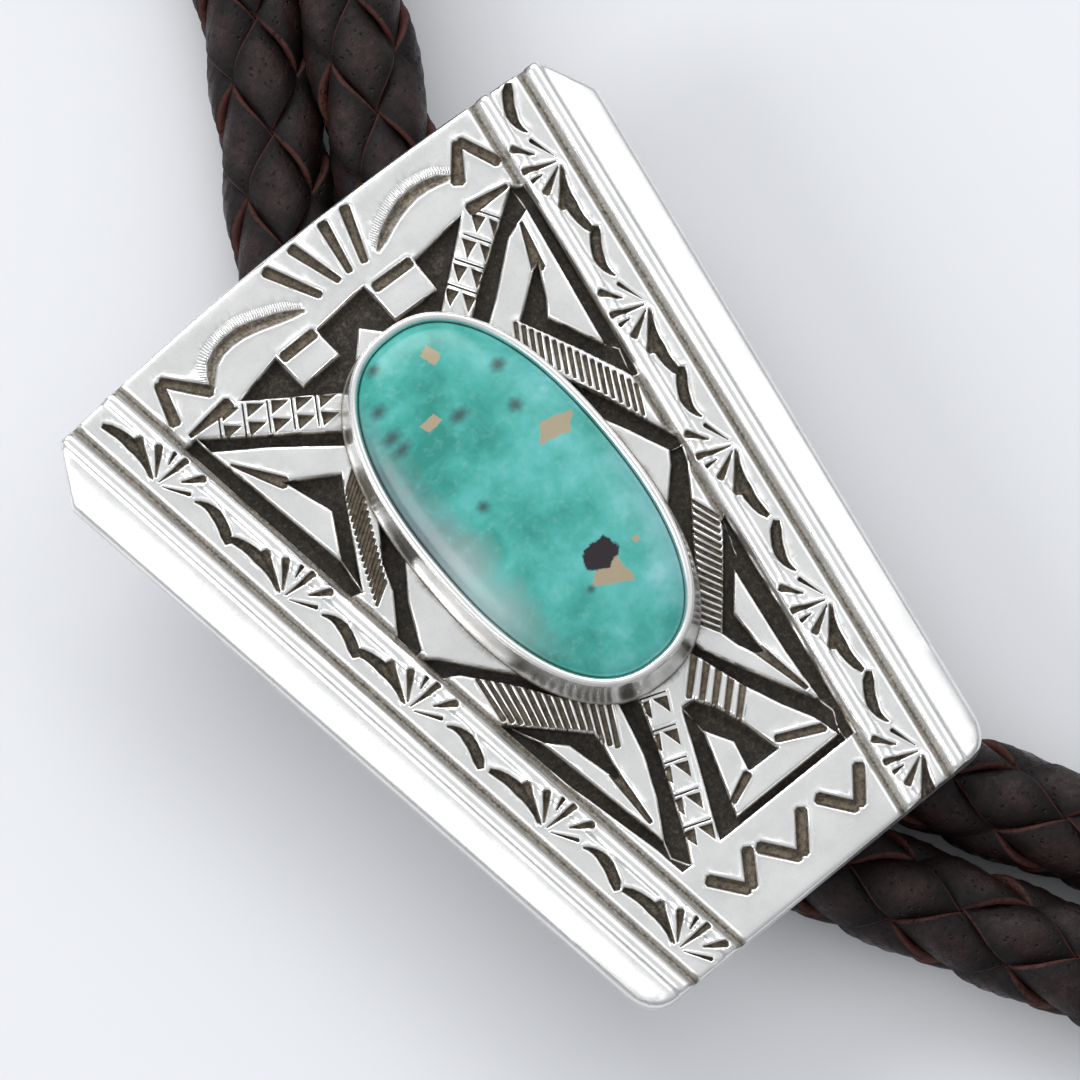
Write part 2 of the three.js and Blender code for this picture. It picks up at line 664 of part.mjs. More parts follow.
// A plain tapered tip on the end of a tail, in line with it

// Its side: out in tip radii from the point's to the collar's, and down from the collar in tip lengths
const tipRows = [
  { out: 1, down: 0 },
  { out: 1, down: 0.12 },
  { out: 0.94, down: 0.2 },
  { out: 0, down: 0.94 },
  { out: -0.4, down: 0.985 },
];

function tip(route) {
  const [end, before] = [route.at(-1), route.at(-2)].map((place) => new THREE.Vector3(...place));
  const aim = end.clone().sub(before).setZ(0).normalize();
  const radius = cordRadius + tipWall;
  const point = tipPointDiameter / 2;
  const side = tipRows.map(({ out, down }) => (
    new THREE.Vector2(point + out * (radius - point), down * tipLength)));
  const profile = [new THREE.Vector2(0, 0), ...side, new THREE.Vector2(0, tipLength)];
  const geometry = new THREE.LatheGeometry(profile, tipSides);
  const turn = new THREE.Quaternion().setFromUnitVectors(new THREE.Vector3(0, 1, 0), aim);
  return { geometry, turn, place: end.addScaledVector(aim, gap).setZ(radius) };
}

// The assembly

const boloTie = new THREE.Group();

function addPiece(name, geometry, finish) {
  const mesh = new THREE.Mesh(geometry, new THREE.MeshStandardMaterial(colours[finish]));
  mesh.name = name;
  boloTie.add(mesh);
  return mesh;
}

addPiece('slide_plate', slidePlate(), 'silver');
addPiece('turquoise_stone', turquoiseStone(), 'turquoise');
addPiece('cord_clip', cordClip(), 'nickel');
addPiece('neck_cord', cordTube(neckRoute(), neckSteps), 'leather');
for (const tail of tails) {
  const route = tailRoute(tail);
  addPiece(`${tail.name}_tail`, cordTube(route, tailSteps), 'leather');
  const { geometry, turn, place } = tip(route);
  const mesh = addPiece(`${tail.name}_tip`, geometry, 'silver');
  mesh.quaternion.copy(turn);
  mesh.position.copy(place);
}

export default boloTie;
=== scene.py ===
# %% [markdown]
# # A bolo tie
# A bolo tie is a loop of round-braided leather cord that is drawn up at the throat by an
# ornamental slide. Here a silver slide with an oval turquoise cabochon lies face up on a glossy
# pale table. The neck loop goes up and to the right, and two short tails with metal tips go down.
# The CAD solids give every piece its place and size. Lengths in the tables are millimetres, and
# the scene itself is in metres.

import math

import bpy
import numpy as np
from mathutils import Matrix, Vector, noise
from mathutils.geometry import delaunay_2d_cdt


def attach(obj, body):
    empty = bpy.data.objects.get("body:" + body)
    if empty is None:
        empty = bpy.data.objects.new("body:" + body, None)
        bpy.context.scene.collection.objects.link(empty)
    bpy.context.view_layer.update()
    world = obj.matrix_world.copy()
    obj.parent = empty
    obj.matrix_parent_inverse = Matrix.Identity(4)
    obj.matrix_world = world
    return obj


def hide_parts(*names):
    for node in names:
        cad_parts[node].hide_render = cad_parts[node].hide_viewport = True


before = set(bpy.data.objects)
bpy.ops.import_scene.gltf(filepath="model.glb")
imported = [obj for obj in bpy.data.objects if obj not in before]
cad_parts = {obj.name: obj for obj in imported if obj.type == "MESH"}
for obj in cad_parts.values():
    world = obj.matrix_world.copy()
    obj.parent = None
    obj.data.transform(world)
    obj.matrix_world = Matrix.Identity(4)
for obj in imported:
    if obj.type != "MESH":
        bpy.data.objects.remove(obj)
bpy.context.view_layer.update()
MM = 0.001

# %% [markdown]
# ## Camera
# The view is from high above, a little from the lower left, and a long lens keeps it nearly flat.
# A camera could be aimed with a Track To constraint, but here the picture is also turned about
# the line of sight. So the camera's own right and down directions are written out, and their
# matrix is its turn.

# %% Camera
lens_length = 383.3
camera_place = Vector((-82.3, -99.3, 682.3)) * MM
right = Vector((0.7728, -0.6347, -0.0005)).normalized()
down = Vector((-0.6232, -0.7586, -0.1903))
down = (down - right * down.dot(right)).normalized()
forward = right.cross(down)
camera_data = bpy.data.cameras.new("camera")
camera_data.sensor_width = 36
camera_data.lens = lens_length
camera_data.clip_start = 0.05
camera_data.clip_end = 50
camera = bpy.data.objects.new("camera", camera_data)
bpy.context.collection.objects.link(camera)
camera.matrix_world = (
    Matrix.Translation(camera_place) @ Matrix((right, -down, -forward)).transposed().to_4x4())
bpy.context.scene.camera = camera
print("camera looks along", [round(value, 3) for value in forward])

# %% [markdown]
# ## The cord's route
# The real cord is one length, and both of its runs pass through a clip behind the slide. A curve
# could be drawn by hand, but the braid has to lie just where the solids' cord lies. So the route
# is worked out from the same sizes: straight through the clip, a bend behind the slide, a lean to
# the right, then the neck loop opens out. Each tail ends a little outside the picture.

# %% Cord sizes
cord_radius = 3.5
gap = 0.3
lane = cord_radius + gap / 2
clip_wall = 1
clip_cord_height = clip_wall + gap + cord_radius
cord_lean = math.radians(28.6)
bend_radius = 22.35
upper_bend_start = 12
lower_bend_start = 7.25
loop_length = 224
loop_width = 154
tail_length = 27
tail_swing = 1.5
# Above the slide the two soft runs press together, and the right one lies a little higher
run_overlap = 0.5
run_lift = math.sqrt(run_overlap * (4 * lane - run_overlap))
run_press = 0.9
print("cord", 2 * cord_radius, "mm thick, right run lifted", round(run_lift, 2), "mm")

# %% Route tables
# Shares of the lean reached, and of the way down from the clip's height
bend_rows = [(0, 0), (0.25, 0.06), (0.5, 0.16), (0.75, 0.3), (1, 0.45)]

# Along in loop lengths, opened in half loop widths, lifted in lifts
loop_rows = [
    (0.076, 0, 1), (0.13, 0.012, 0.6), (0.21, 0.11, 0.1), (0.326, 0.376, 0), (0.433, 0.69, 0),
    (0.536, 0.904, 0), (0.656, 1, 0), (0.777, 0.932, 0), (0.879, 0.74, 0), (0.96, 0.468, 0),
    (1, 0.155, 0),
]
tail_rows = {
    "left": (-1, [(0.15, 0), (0.45, 0), (0.74, 0), (0.98, 0)]),
    "right": (1, [(0.3, 0), (0.6, 0.13), (0.81, 0.47), (1, 1)]),
}
print(len(loop_rows), "places on each side of the neck loop")


# %% Places on the route
def beside_bend(toward, start, turn, aside, along):
    """A place beside the line that leaves the clip, bends by the turn and goes on straight."""
    radius = bend_radius - aside
    x = bend_radius - radius * math.cos(turn) + along * math.sin(turn)
    y = start + radius * math.sin(turn) + along * math.cos(turn)
    return x, toward * y


def bent_run(side, toward, start, final_height):
    places = [(side * lane, toward * gap / 2, clip_cord_height)]
    for lean, settled in bend_rows:
        x, y = beside_bend(toward, start, lean * cord_lean, side * lane, 0)
        places.append((x, y, clip_cord_height + settled * (final_height - clip_cord_height)))
    return places


def loop_run(side):
    places = []
    for along, opened, lifted in loop_rows:
        aside = lane - lifted * (run_overlap + run_press) / 2 + opened * (loop_width / 2 - lane)
        x, y = beside_bend(1, upper_bend_start, cord_lean, 0, along * loop_length)
        places.append((
            x + side * aside * math.cos(cord_lean),
            y - side * aside * math.sin(cord_lean),
            cord_radius + (lifted * run_lift if side > 0 else 0),
        ))
    return places


def neck_route():
    left = bent_run(-1, 1, upper_bend_start, cord_radius) + loop_run(-1)
    right_run = bent_run(1, 1, upper_bend_start, cord_radius + run_lift) + loop_run(1)
    return left + right_run[::-1]


def tail_route(side, places):
    route = bent_run(side, -1, lower_bend_start, cord_radius)
    for along, swing in places:
        x, y = beside_bend(-1, lower_bend_start, cord_lean, side * lane, along * tail_length)
        swing *= tail_swing
        route.append((
            x + swing * math.cos(cord_lean), y + swing * math.sin(cord_lean), cord_radius,
        ))
    return route


print(len(neck_route()), "places on the neck's route")

# %% [markdown]
# ## A smooth line through the places
# A leather cord bends evenly, with no kink where two places meet. Blender's curves need handles
# at each place, and the braid needs to know how far along the cord every point is. A centripetal
# Catmull-Rom line passes through each place without overshooting, and it is easily cut into even
# steps.

# %% Smooth line
span_steps = 60


def smooth_line(route, spacing=0.25):
    """A centripetal Catmull-Rom line through the route, as evenly spaced points."""
    knots = np.array(route, float)
    knots = np.vstack([2 * knots[0] - knots[1], knots, 2 * knots[-1] - knots[-2]])
    dense = []
    for index in range(1, len(knots) - 2):
        p0, p1, p2, p3 = knots[index - 1:index + 3]
        t1 = np.linalg.norm(p1 - p0) ** 0.5
        t2 = t1 + np.linalg.norm(p2 - p1) ** 0.5
        t3 = t2 + np.linalg.norm(p3 - p2) ** 0.5
        t = np.linspace(t1, t2, span_steps, endpoint=False)[:, None]
        a1 = (t1 - t) / t1 * p0 + t / t1 * p1
        a2 = (t2 - t) / (t2 - t1) * p1 + (t - t1) / (t2 - t1) * p2
        a3 = (t3 - t) / (t3 - t2) * p2 + (t - t2) / (t3 - t2) * p3
        b1 = (t2 - t) / t2 * a1 + t / t2 * a2
        b2 = (t3 - t) / (t3 - t1) * a2 + (t - t1) / (t3 - t1) * a3
        dense.append((t2 - t) / (t2 - t1) * b1 + (t - t1) / (t2 - t1) * b2)
    dense = np.vstack(dense + [knots[-2][None]])
    lengths = np.concatenate([[0], np.cumsum(np.linalg.norm(np.diff(dense, axis=0), axis=1))])
    even = np.linspace(0, lengths[-1], int(lengths[-1] / spacing) + 1)
    line = np.column_stack([np.interp(even, lengths, dense[:, axis]) for axis in range(3)])
    return line, even


print("neck cord", round(smooth_line(neck_route())[1][-1], 1), "mm along its middle")

# %% [markdown]
# ## Meshes from corners and faces
# The braid and the slide's relief have thousands of corners whose places come from formulas, and
# no operator of edit mode places them so. They are made as plain meshes instead. One helper makes
# such a piece, one joins rings of corners to a closed skin, and one paints a number on each
# corner, which the material reads later.


# %% Mesh helpers
def mesh_piece(name, corners, faces):
    """A new smooth mesh object from corners in millimetres, fixed to the part's body."""
    mesh = bpy.data.meshes.new(name)
    mesh.from_pydata((np.asarray(corners) * MM).tolist(), [], faces)
    mesh.update()
    mesh.shade_smooth()
    piece = bpy.data.objects.new(name, mesh)
    bpy.context.collection.objects.link(piece)
    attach(piece, "root")
    return piece


def loft_faces(rings, sides, first):
    """The quads between rings of corners, and one face over each end."""
    faces = []
    for ring in range(rings - 1):
        for side in range(sides):
            here = first + ring * sides + side
            beside = first + ring * sides + (side + 1) % sides
            faces.append((here, beside, beside + sides, here + sides))
    last = first + (rings - 1) * sides
    faces.append(tuple(reversed(range(first, first + sides))))
    faces.append(tuple(range(last, last + sides)))
    return faces


def paint(piece, name, values):
    """Stores one number a corner, for the material to read."""
    layer = piece.data.attributes.new(name, "FLOAT", "POINT")
    layer.data.foreach_set("value", np.asarray(values, dtype=np.float32))


print("mesh helpers are ready")

# %% [markdown]
# ## The braid
# The real cord is eight flat leather strands round a core, four each way, over one and under one.
# Such a braid could be an array of one short repeat bent along a curve, but its ends and bends
# would not join cleanly. Here each strand is a band that rises and sinks as it passes its
# neighbours. The places where it dives run beside the strand it crosses, so each crossing shows
# as a pointed diamond. A plain round core closes the small gaps.

# %% Braid sizes
braid_pitch = 29.5
strands_each_way = 4
braid_row = braid_pitch / (2 * strands_each_way)
strand_radius = 3.0
strand_thickness = 1.0
strand_half_width = 1.96
strand_slope = math.atan(2 * math.pi * strand_radius / braid_pitch)
weave_rise = 0.7
wave_fullness = 0.85
core_radius = 2.3
core_sides = 12
core_step = 4
core_edge = 0.8
print("a strand leans", round(math.degrees(strand_slope), 1), "degrees, a diamond is",
      round(2 * braid_row, 2), "mm long")

# %% A strand's section
# One strand's section: across in half widths, sunk in thicknesses, outer side first
strand_section = [
    (-1, 0.5), (-0.98, 0.16), (-0.9, 0.03), (-0.5, 0), (0, -0.02), (0.5, 0),
    (0.9, 0.03), (0.98, 0.16), (1, 0.5), (0.85, 0.95), (-0.85, 0.95),
]
strand_across = np.array([place for place, _ in strand_section]) * strand_half_width
strand_sunk = np.array([depth for _, depth in strand_section]) * strand_thickness
print("section of", len(strand_section), "corners")

# %% Steps along the cord
# Stations in a braid row: close where the cord shows near the slide, wider on the rest of the loop
fine_length = 62
fine_stations = 10
middle_stations = 4.5


def stations(length):
    """Places along the cord, closer together near its ends."""
    fine = braid_row / fine_stations
    if length < 2 * fine_length:
        return np.linspace(0, length, int(length / fine) + 1)
    near_end = np.linspace(0, fine_length, int(fine_length / fine), endpoint=False)
    rest = length - 2 * fine_length
    middle = np.linspace(
        fine_length, length - fine_length, int(rest / braid_row * middle_stations))
    return np.concatenate([near_end, middle, length - near_end[::-1]])


print(len(stations(loop_length)), "stations on a cord of", loop_length, "mm")


# %% Points round a cord
def cord_course(route):
    """A cord's line and lengths, and the upward and sideways directions at each point."""
    line, lengths = smooth_line(route)
    ahead = np.gradient(line, axis=0)
    ahead /= np.linalg.norm(ahead, axis=1)[:, None]
    upward = np.array([0, 0, 1.0]) - ahead[:, 2:] * ahead
    upward /= np.linalg.norm(upward, axis=1)[:, None]
    return line, lengths, upward, np.cross(ahead, upward)


def on_cord(course, along, angle, radius):
    """Points so far along the cord, turned so far about it and so far out from its middle."""
    line, lengths, upward, aside = course
    along = np.clip(along, 0, lengths[-1])
    pick = [[np.interp(along, lengths, field[:, axis]) for axis in range(3)]
            for field in (line, upward, aside)]
    middle, up, side = (np.stack(field, axis=-1) for field in pick)
    return middle + radius[..., None] * (
        np.cos(angle)[..., None] * up + np.sin(angle)[..., None] * side)


# %% One strand and the core
def strand(course, start, number, way):
    """A strand's rings of corners, and how near to a crest each corner is."""
    lead = way * strand_across * math.cos(2 * strand_slope) / (2 * math.sin(strand_slope))
    wave = np.cos(math.pi * ((start[:, None] + lead) / braid_row))
    crest = np.clip(way * wave, 0, 1)
    wave = np.sign(wave) * np.abs(wave) ** wave_fullness
    radius = cord_radius - weave_rise + way * weave_rise * wave
    turn = 2 * math.pi * (number / strands_each_way + way * start / braid_pitch)
    angle = turn[:, None] + strand_across[None] * math.cos(strand_slope) / strand_radius
    along = start[:, None] - way * strand_across[None] * math.sin(strand_slope)
    return on_cord(course, along, angle, radius - strand_sunk), crest


def core(course, steps):
    """The core's rings of corners."""
    start = np.linspace(0, course[1][-1], steps)
    angle = np.arange(core_sides) / core_sides * 2 * math.pi
    along, angle = np.meshgrid(start, angle, indexing="ij")
    return on_cord(course, along, angle, np.full(along.shape, core_radius))


# %% A braided cord
def braid(name, route):
    """Eight strands and a core along a route, as one piece; also its line and its length."""
    course = cord_course(route)
    line, lengths = course[:2]
    start = stations(lengths[-1])
    corners, faces, edge, crest = [], [], [], []
    for way in (1, -1):
        for number in range(strands_each_way):
            rings, strand_crest = strand(course, start, number, way)
            faces += loft_faces(len(start), len(strand_section), sum(map(len, corners)))
            corners.append(rings.reshape(-1, 3))
            edge.append(np.tile(np.abs(strand_across) / strand_half_width, len(start)))
            crest.append(strand_crest.ravel())
    core_steps = max(8, int(lengths[-1] / core_step))
    faces += loft_faces(core_steps, core_sides, sum(map(len, corners)))
    corners.append(core(course, core_steps).reshape(-1, 3))
    edge.append(np.full(core_steps * core_sides, core_edge))
    # The core has no crest, so it takes the darkest brown, the painted shade seen in the gaps
    crest.append(np.zeros(core_steps * core_sides))
    piece = mesh_piece(name, np.vstack(corners), faces)
    paint(piece, "edge", np.concatenate(edge))
    paint(piece, "crest", np.concatenate(crest))
    print(name, "length", round(lengths[-1], 1), "mm,", len(faces), "faces")
    return piece, line, lengths[-1]


# %% The neck cord and the tails
neck_braid = braid("neck_braid", neck_route())[0]
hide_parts("neck_cord")
tails = {}
for tail, (side, places) in tail_rows.items():
    tails[tail] = braid(f"{tail}_tail_braid", tail_route(side, places))
    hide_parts(f"{tail}_tail")

# %% [markdown]
# ## A shape drawn out of a circle
# The metal tips, the bezel and the stone are all round or oval in section. A lathe would spin a
# half profile about an axis, which gives no ovals. So a circle is extruded along its axis row by
# row, and each new ring is resized, as by hand in edit mode. A tube's first and last rings are
# bridged to close its wall.


# %% Drawn-out shapes
def drawn_out(name, start, rows, aim=(0, 0, 1), filled=True, sides=48):
    """A circle extruded and resized along an aim, row by row.

    A row is a half width, a half length and a place along the aim.
    """
    start, aim = Vector(start), Vector(aim).normalized()
    for piece in bpy.context.selected_objects:
        piece.select_set(False)
    (wide, long, along), *further = rows
    bpy.ops.mesh.primitive_circle_add(
        vertices=sides, radius=MM, fill_type="NGON" if filled else "NOTHING",
        location=(start + aim * along) * MM, rotation=aim.to_track_quat("Z", "Y").to_euler())
    piece = bpy.context.object
    piece.name = piece.data.name = name
    bpy.ops.object.mode_set(mode="EDIT")
    bpy.ops.mesh.select_mode(type="VERT")
    bpy.ops.mesh.select_all(action="SELECT")
    bpy.ops.transform.resize(value=(wide, long, wide), center_override=(start + aim * along) * MM)
    for next_wide, next_long, next_along in further:
        step = aim * (next_along - along) * MM
        bpy.ops.mesh.extrude_region_move(TRANSFORM_OT_translate={"value": step})
        grow = next_wide / wide
        bpy.ops.transform.resize(value=(grow, next_long / long, grow),
                                 center_override=(start + aim * next_along) * MM)
        wide, long, along = next_wide, next_long, next_along
    if not filled:
        bpy.ops.mesh.select_all(action="DESELECT")
        bpy.ops.mesh.select_non_manifold()
        bpy.ops.mesh.bridge_edge_loops()
    bpy.ops.mesh.select_all(action="SELECT")
    bpy.ops.mesh.normals_make_consistent(inside=False)
    bpy.ops.object.mode_set(mode="OBJECT")
    bpy.ops.object.transform_apply(location=True, rotation=True, scale=True)
    piece.data.shade_smooth()
    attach(piece, "root")
    print(name, len(piece.data.vertices), "corners")
    return piece


print("drawn-out shapes are ready")

# %% [markdown]
# ## The metal tips
# Each tail of a bolo tie ends in a metal tip, whose collar is pressed over the braid so that the
# strands can't fray. The picture doesn't show them, so they are plain: a rolled collar and a long
# taper. They are drawn out of a circle along each tail's last direction.

# %% Tips
# Out in millimetres from the tip's axis, and down from the tail's end
tip_profile = [
    (3.3, 0.3), (3.3, -2.2), (3.62, -2.5), (3.86, -2.3), (3.9, -1.9), (3.9, 3.2), (3.82, 3.6),
    (3.78, 6), (3.2, 15), (2.4, 27.4), (2.2, 28.8), (1.5, 29.7), (0.02, 30),
]
# The braid's last eight points give the tip its aim
aim_points = 8
tip_lift = 0.4
tips = {}
for tail, (_, line, _) in tails.items():
    aim = line[-1] - line[-aim_points]
    aim[2] = 0
    aim /= np.linalg.norm(aim)
    start = line[-1] + aim * gap
    start[2] = cord_radius + tip_lift
    tips[tail] = drawn_out(
        f"{tail}_metal_tip", start, [(out, out, along) for out, along in tip_profile], aim)
    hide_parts(f"{tail}_tip")

# %% Each tail's side
# Each tail's side is looked up in its table, and nothing more is done with it
for tail, (piece, line, length) in tails.items():
    side = tail_rows[tail][0]

# %% [markdown]
# ## The slide's outline
# The slide is a trapezoid of sheet silver with a bowed top edge and rounded corners. Its ornament
# is placed by shares, as a smith would lay it out: across in shares of the middle panel's half
# width at that height, and along in shares of half the slide's length. So the lines lean with the
# panel's sides.

# %% Slide sizes
slide_length = 50
slide_back = 9.9
slide_face = 11.6
overlay_sheet = 0.85
panel_widths = (27.4, 12.4)
slide_widths = (41.8, 26)
band_width = 3.55
groove_width = 0.66
bead_width = 1
flange_drop = 0.9
chisel_width = 0.5
stamp_depth = 0.28
fan_reach = 3.1
end_bow = 0.9
top_corner = 3.4
bottom_corner = 2.2
# How far the corners' curves reach in along the ends, in shares of their height
top_corner_in = 0.75
bottom_corner_in = 0.85
print("slide", slide_length, "by", slide_widths[0], "mm")


# %% Outline helpers
def half_width(widths, y):
    top, bottom = widths
    return (bottom + (top - bottom) * (y / slide_length + 0.5)) / 2


def spot(across, along):
    y = along * slide_length / 2
    return across * half_width(panel_widths, y), y


def bow(start, middle, end, steps):
    """Points on a quadratic curve, its end left out."""
    start, middle, end = (np.array(point, float) for point in (start, middle, end))
    shares = np.arange(steps) / steps
    return [tuple((1 - t) ** 2 * start + 2 * t * (1 - t) * middle + t * t * end) for t in shares]


def slide_outline():
    end = slide_length / 2
    side_top = end - end_bow - top_corner
    side_bottom = -end + bottom_corner
    corner_top = half_width(slide_widths, end) - top_corner * top_corner_in
    corner_bottom = half_width(slide_widths, -end) - bottom_corner * bottom_corner_in
    wide = half_width(slide_widths, -end)
    low = half_width(slide_widths, side_bottom)
    high = half_width(slide_widths, side_top)
    return [
        *bow((corner_bottom, -end), (wide, -end), (low, side_bottom), 10),
        (low, side_bottom), (high, side_top),
        *bow((corner_top, end - end_bow), (0, end + end_bow), (-corner_top, end - end_bow), 24),
        (-corner_top, end - end_bow), (-high, side_top),
        *bow((-low, side_bottom), (-wide, -end), (-corner_bottom, -end), 10),
        (-corner_bottom, -end),
    ]


print(len(slide_outline()), "corners on the outline")

# %% [markdown]
# ## The pierced overlay
# The real slide is two sheets: an upper one, sawn through with a jeweller's saw, is soldered on a
# darkened lower one. The openings could be cut with Boolean modifiers, but then the stamps beside
# them would be hard to keep crisp. So each opening is an outline in a table, and the face's mesh
# is laid along it later.

# %% The overlay's pierced recesses
recesses = {
    "left side channel": [
        (-1, 0.765), (-1, 0.235), (-0.94, 0.225), (-0.89, 0.32), (-0.93, 0.715), (-0.93, 0.765)],
    "left ladder channel": [
        (-0.93, 0.766), (-0.36, 0.545), (-0.38, 0.5), (-0.725, 0.64), (-0.93, 0.716)],
    "left kite": [
        (-0.8, 0.556), (-0.555, 0.482), (-0.735, 0.36), (-0.94, 0.225), (-0.89, 0.32),
        (-0.735, 0.424)],
    "left upper rhomb channel": [
        (-0.52, 0.36), (-0.583, 0.344), (-0.75, 0.25), (-0.82, 0.184), (-1, 0.09), (-1, 0.028),
        (-0.96, 0.028), (-0.8, 0.14), (-0.62, 0.236), (-0.52, 0.24)],
    "left lower rhomb channel": [
        (-1, 0.016), (-0.93, -0.012), (-0.62, -0.18), (-0.48, -0.25), (-0.45, -0.31),
        (-0.57, -0.272), (-0.71, -0.188), (-0.92, -0.076), (-1, -0.056)],
    "left lower side channel": [
        (-0.985, -0.228), (-0.98, -0.44), (-0.89, -0.7), (-0.884, -0.776), (-0.777, -0.776),
        (-0.792, -0.688), (-0.84, -0.48), (-0.873, -0.33), (-0.95, -0.236)],
    "left lower leg": [
        (-0.777, -0.776), (-0.654, -0.72), (-0.348, -0.532), (-0.189, -0.4), (-0.21, -0.35),
        (-0.3, -0.35), (-0.431, -0.5), (-0.592, -0.6), (-0.792, -0.688), (-0.85, -0.73)],
    "left lower kite": [
        (-0.96, -0.235), (-0.575, -0.384), (-0.59, -0.42), (-0.655, -0.5), (-0.71, -0.504),
        (-0.765, -0.372), (-0.873, -0.33)],
    "step recess": [
        (-0.67, 0.772), (-0.397, 0.8), (-0.395, 0.704), (-0.17, 0.71), (-0.175, 0.79),
        (0.13, 0.804), (0.147, 0.69), (0.389, 0.685), (0.385, 0.775), (0.7, 0.79), (0.31, 0.62),
        (0.17, 0.6), (0.11, 0.66), (-0.017, 0.728), (-0.165, 0.652), (-0.22, 0.6), (-0.264, 0.624)],
    "right side channel": [
        (1.02, 0.75), (1.02, 0.22), (0.975, 0.225), (0.94, 0.33), (0.965, 0.7), (0.95, 0.77)],
    "right ladder channel": [
        (0.96, 0.77), (0.806, 0.712), (0.579, 0.632), (0.36, 0.545), (0.38, 0.5), (0.59, 0.572),
        (0.816, 0.672), (0.97, 0.7)],
    "right kite": [
        (0.88, 0.584), (0.832, 0.576), (0.631, 0.496), (0.806, 0.36), (0.943, 0.252),
        (0.975, 0.225), (1, 0.3), (0.942, 0.332), (0.769, 0.464), (0.812, 0.5)],
    "right upper rhomb channel": [
        (0.52, 0.36), (0.63, 0.344), (0.777, 0.236), (0.922, 0.12), (1.02, 0.048), (1.02, 0.02),
        (0.935, 0.028), (0.789, 0.132), (0.657, 0.224), (0.52, 0.24)],
    "right lower rhomb channel": [
        (1.02, 0.022), (0.996, -0.02), (0.896, -0.092), (0.77, -0.168), (0.657, -0.24),
        (0.55, -0.25), (0.56, -0.18), (0.7, -0.088), (0.894, 0), (0.933, 0.03)],
    "right lower side channel": [
        (1.02, -0.172), (1.02, -0.5), (1, -0.775), (0.9, -0.776), (0.895, -0.656), (0.87, -0.52),
        (0.875, -0.296), (0.97, -0.18)],
    "right lower leg": [
        (0.277, -0.345), (0.306, -0.384), (0.466, -0.52), (0.619, -0.612), (0.78, -0.688),
        (0.88, -0.76), (0.95, -0.7), (0.9, -0.66), (0.771, -0.6), (0.572, -0.5), (0.39, -0.396),
        (0.349, -0.345)],
    "right lower kite": [
        (1, -0.175), (0.718, -0.32), (0.557, -0.392), (0.608, -0.44), (0.673, -0.48),
        (0.747, -0.488), (0.711, -0.372), (0.875, -0.296), (0.95, -0.26)],
    "middle triangle, left leg and base": [
        (0.015, -0.47), (-0.01, -0.48), (-0.177, -0.6), (-0.471, -0.774), (0.91, -0.776),
        (0.9, -0.752), (-0.215, -0.752), (0.023, -0.548), (0.112, -0.472)],
    "middle triangle, right leg": [
        (0.015, -0.47), (0.023, -0.548), (0.149, -0.612), (0.096, -0.688), (0.403, -0.692),
        (0.317, -0.6), (0.216, -0.52), (0.112, -0.472)],
}
print(len(recesses), "openings")

# %% [markdown]
# ## Chisel lines and feathers
# Straight cuts are struck with a chisel, singly or in close rows that look like feathers. Each
# could be a small mesh pressed into the sheet, but a few numbers a cut are enough: its two ends
# and its widths. A feather strip only names its first and last line, and the lines between are
# spread evenly.

# %% Chisel lines: from, to, start and end width in chisel widths
chisel_lines = [
    ((-0.18, 0.983), (-0.05, 0.844), 1.1, 0.8), ((-0.025, 0.987), (0.057, 0.844), 1.1, 0.7),
    ((0.157, 0.988), (0.117, 0.844), 1.1, 0.7), ((0.28, 0.985), (0.197, 0.84), 1.1, 0.8),
    ((-0.955, 0.816), (-0.86, 0.93), 1.2, 1), ((-0.86, 0.93), (-0.715, 0.825), 1, 1.2),
    ((0.86, 0.935), (0.75, 0.845), 1, 1.4), ((0.86, 0.935), (0.975, 0.825), 1, 1.1),
    ((-0.95, 0.778), (-0.69, 0.782), 0.5, 1.3), ((0.95, 0.772), (0.72, 0.784), 0.5, 1.3),
    ((-0.39, 0.786), (-0.18, 0.786), 1.1, 1.1), ((0.15, 0.78), (0.38, 0.775), 1.1, 1.1),
    ((-0.915, 0.664), (-0.79, 0.54), 0.3, 1.2), ((0.91, 0.684), (0.855, 0.56), 0.4, 1.3),
    ((-0.765, -0.64), (-0.685, -0.48), 0.5, 1), ((0.86, -0.625), (0.7, -0.47), 0.5, 1),
    ((0.41, -0.668), (0.825, -0.724), 0.8, 0.9), ((-0.185, -0.724), (0.09, -0.69), 0.7, 0.9),
    ((-0.8, -0.824), (-0.57, -0.914), 1.2, 1.2), ((-0.57, -0.914), (-0.33, -0.824), 1.2, 1.2),
    ((-0.28, -0.838), (-0.02, -0.93), 1.2, 1.2), ((-0.02, -0.93), (0.25, -0.832), 1.2, 1.2),
    ((0.39, -0.836), (0.67, -0.924), 1.2, 1.2), ((0.67, -0.924), (0.89, -0.836), 1.2, 1.2),
]
print(len(chisel_lines), "chisel lines")

# %% Feather strips: count, width, then both ends of the first and the last line
hatched_strips = [
    (18, 0.3, (-0.6, 0.44), (-0.925, 0.184), (-0.49, 0.472), (-0.83, 0.208)),
    (17, 0.3, (0.555, 0.452), (0.922, 0.144), (0.6, 0.492), (0.961, 0.192)),
    (15, 0.38, (-0.876, -0.128), (-0.372, -0.356), (-0.93, -0.208), (-0.5, -0.43)),
    (17, 0.3, (0.897, -0.112), (0.473, -0.34), (0.958, -0.16), (0.579, -0.396)),
    (5, 0.5, (0.13, -0.45), (0.3, -0.572), (0.3, -0.395), (0.478, -0.516)),
]
print(sum(strip[0] for strip in hatched_strips), "feather lines")

# %% [markdown]
# ## Fans, ladders and crescents
# Along both bands the same punches are struck again and again: a fan of rays between two curved
# scallops. Ladders of small wedges climb beside the openings, and two crescents with fine ticks
# cross the top. Each punch is described once, and a list says where it is struck.

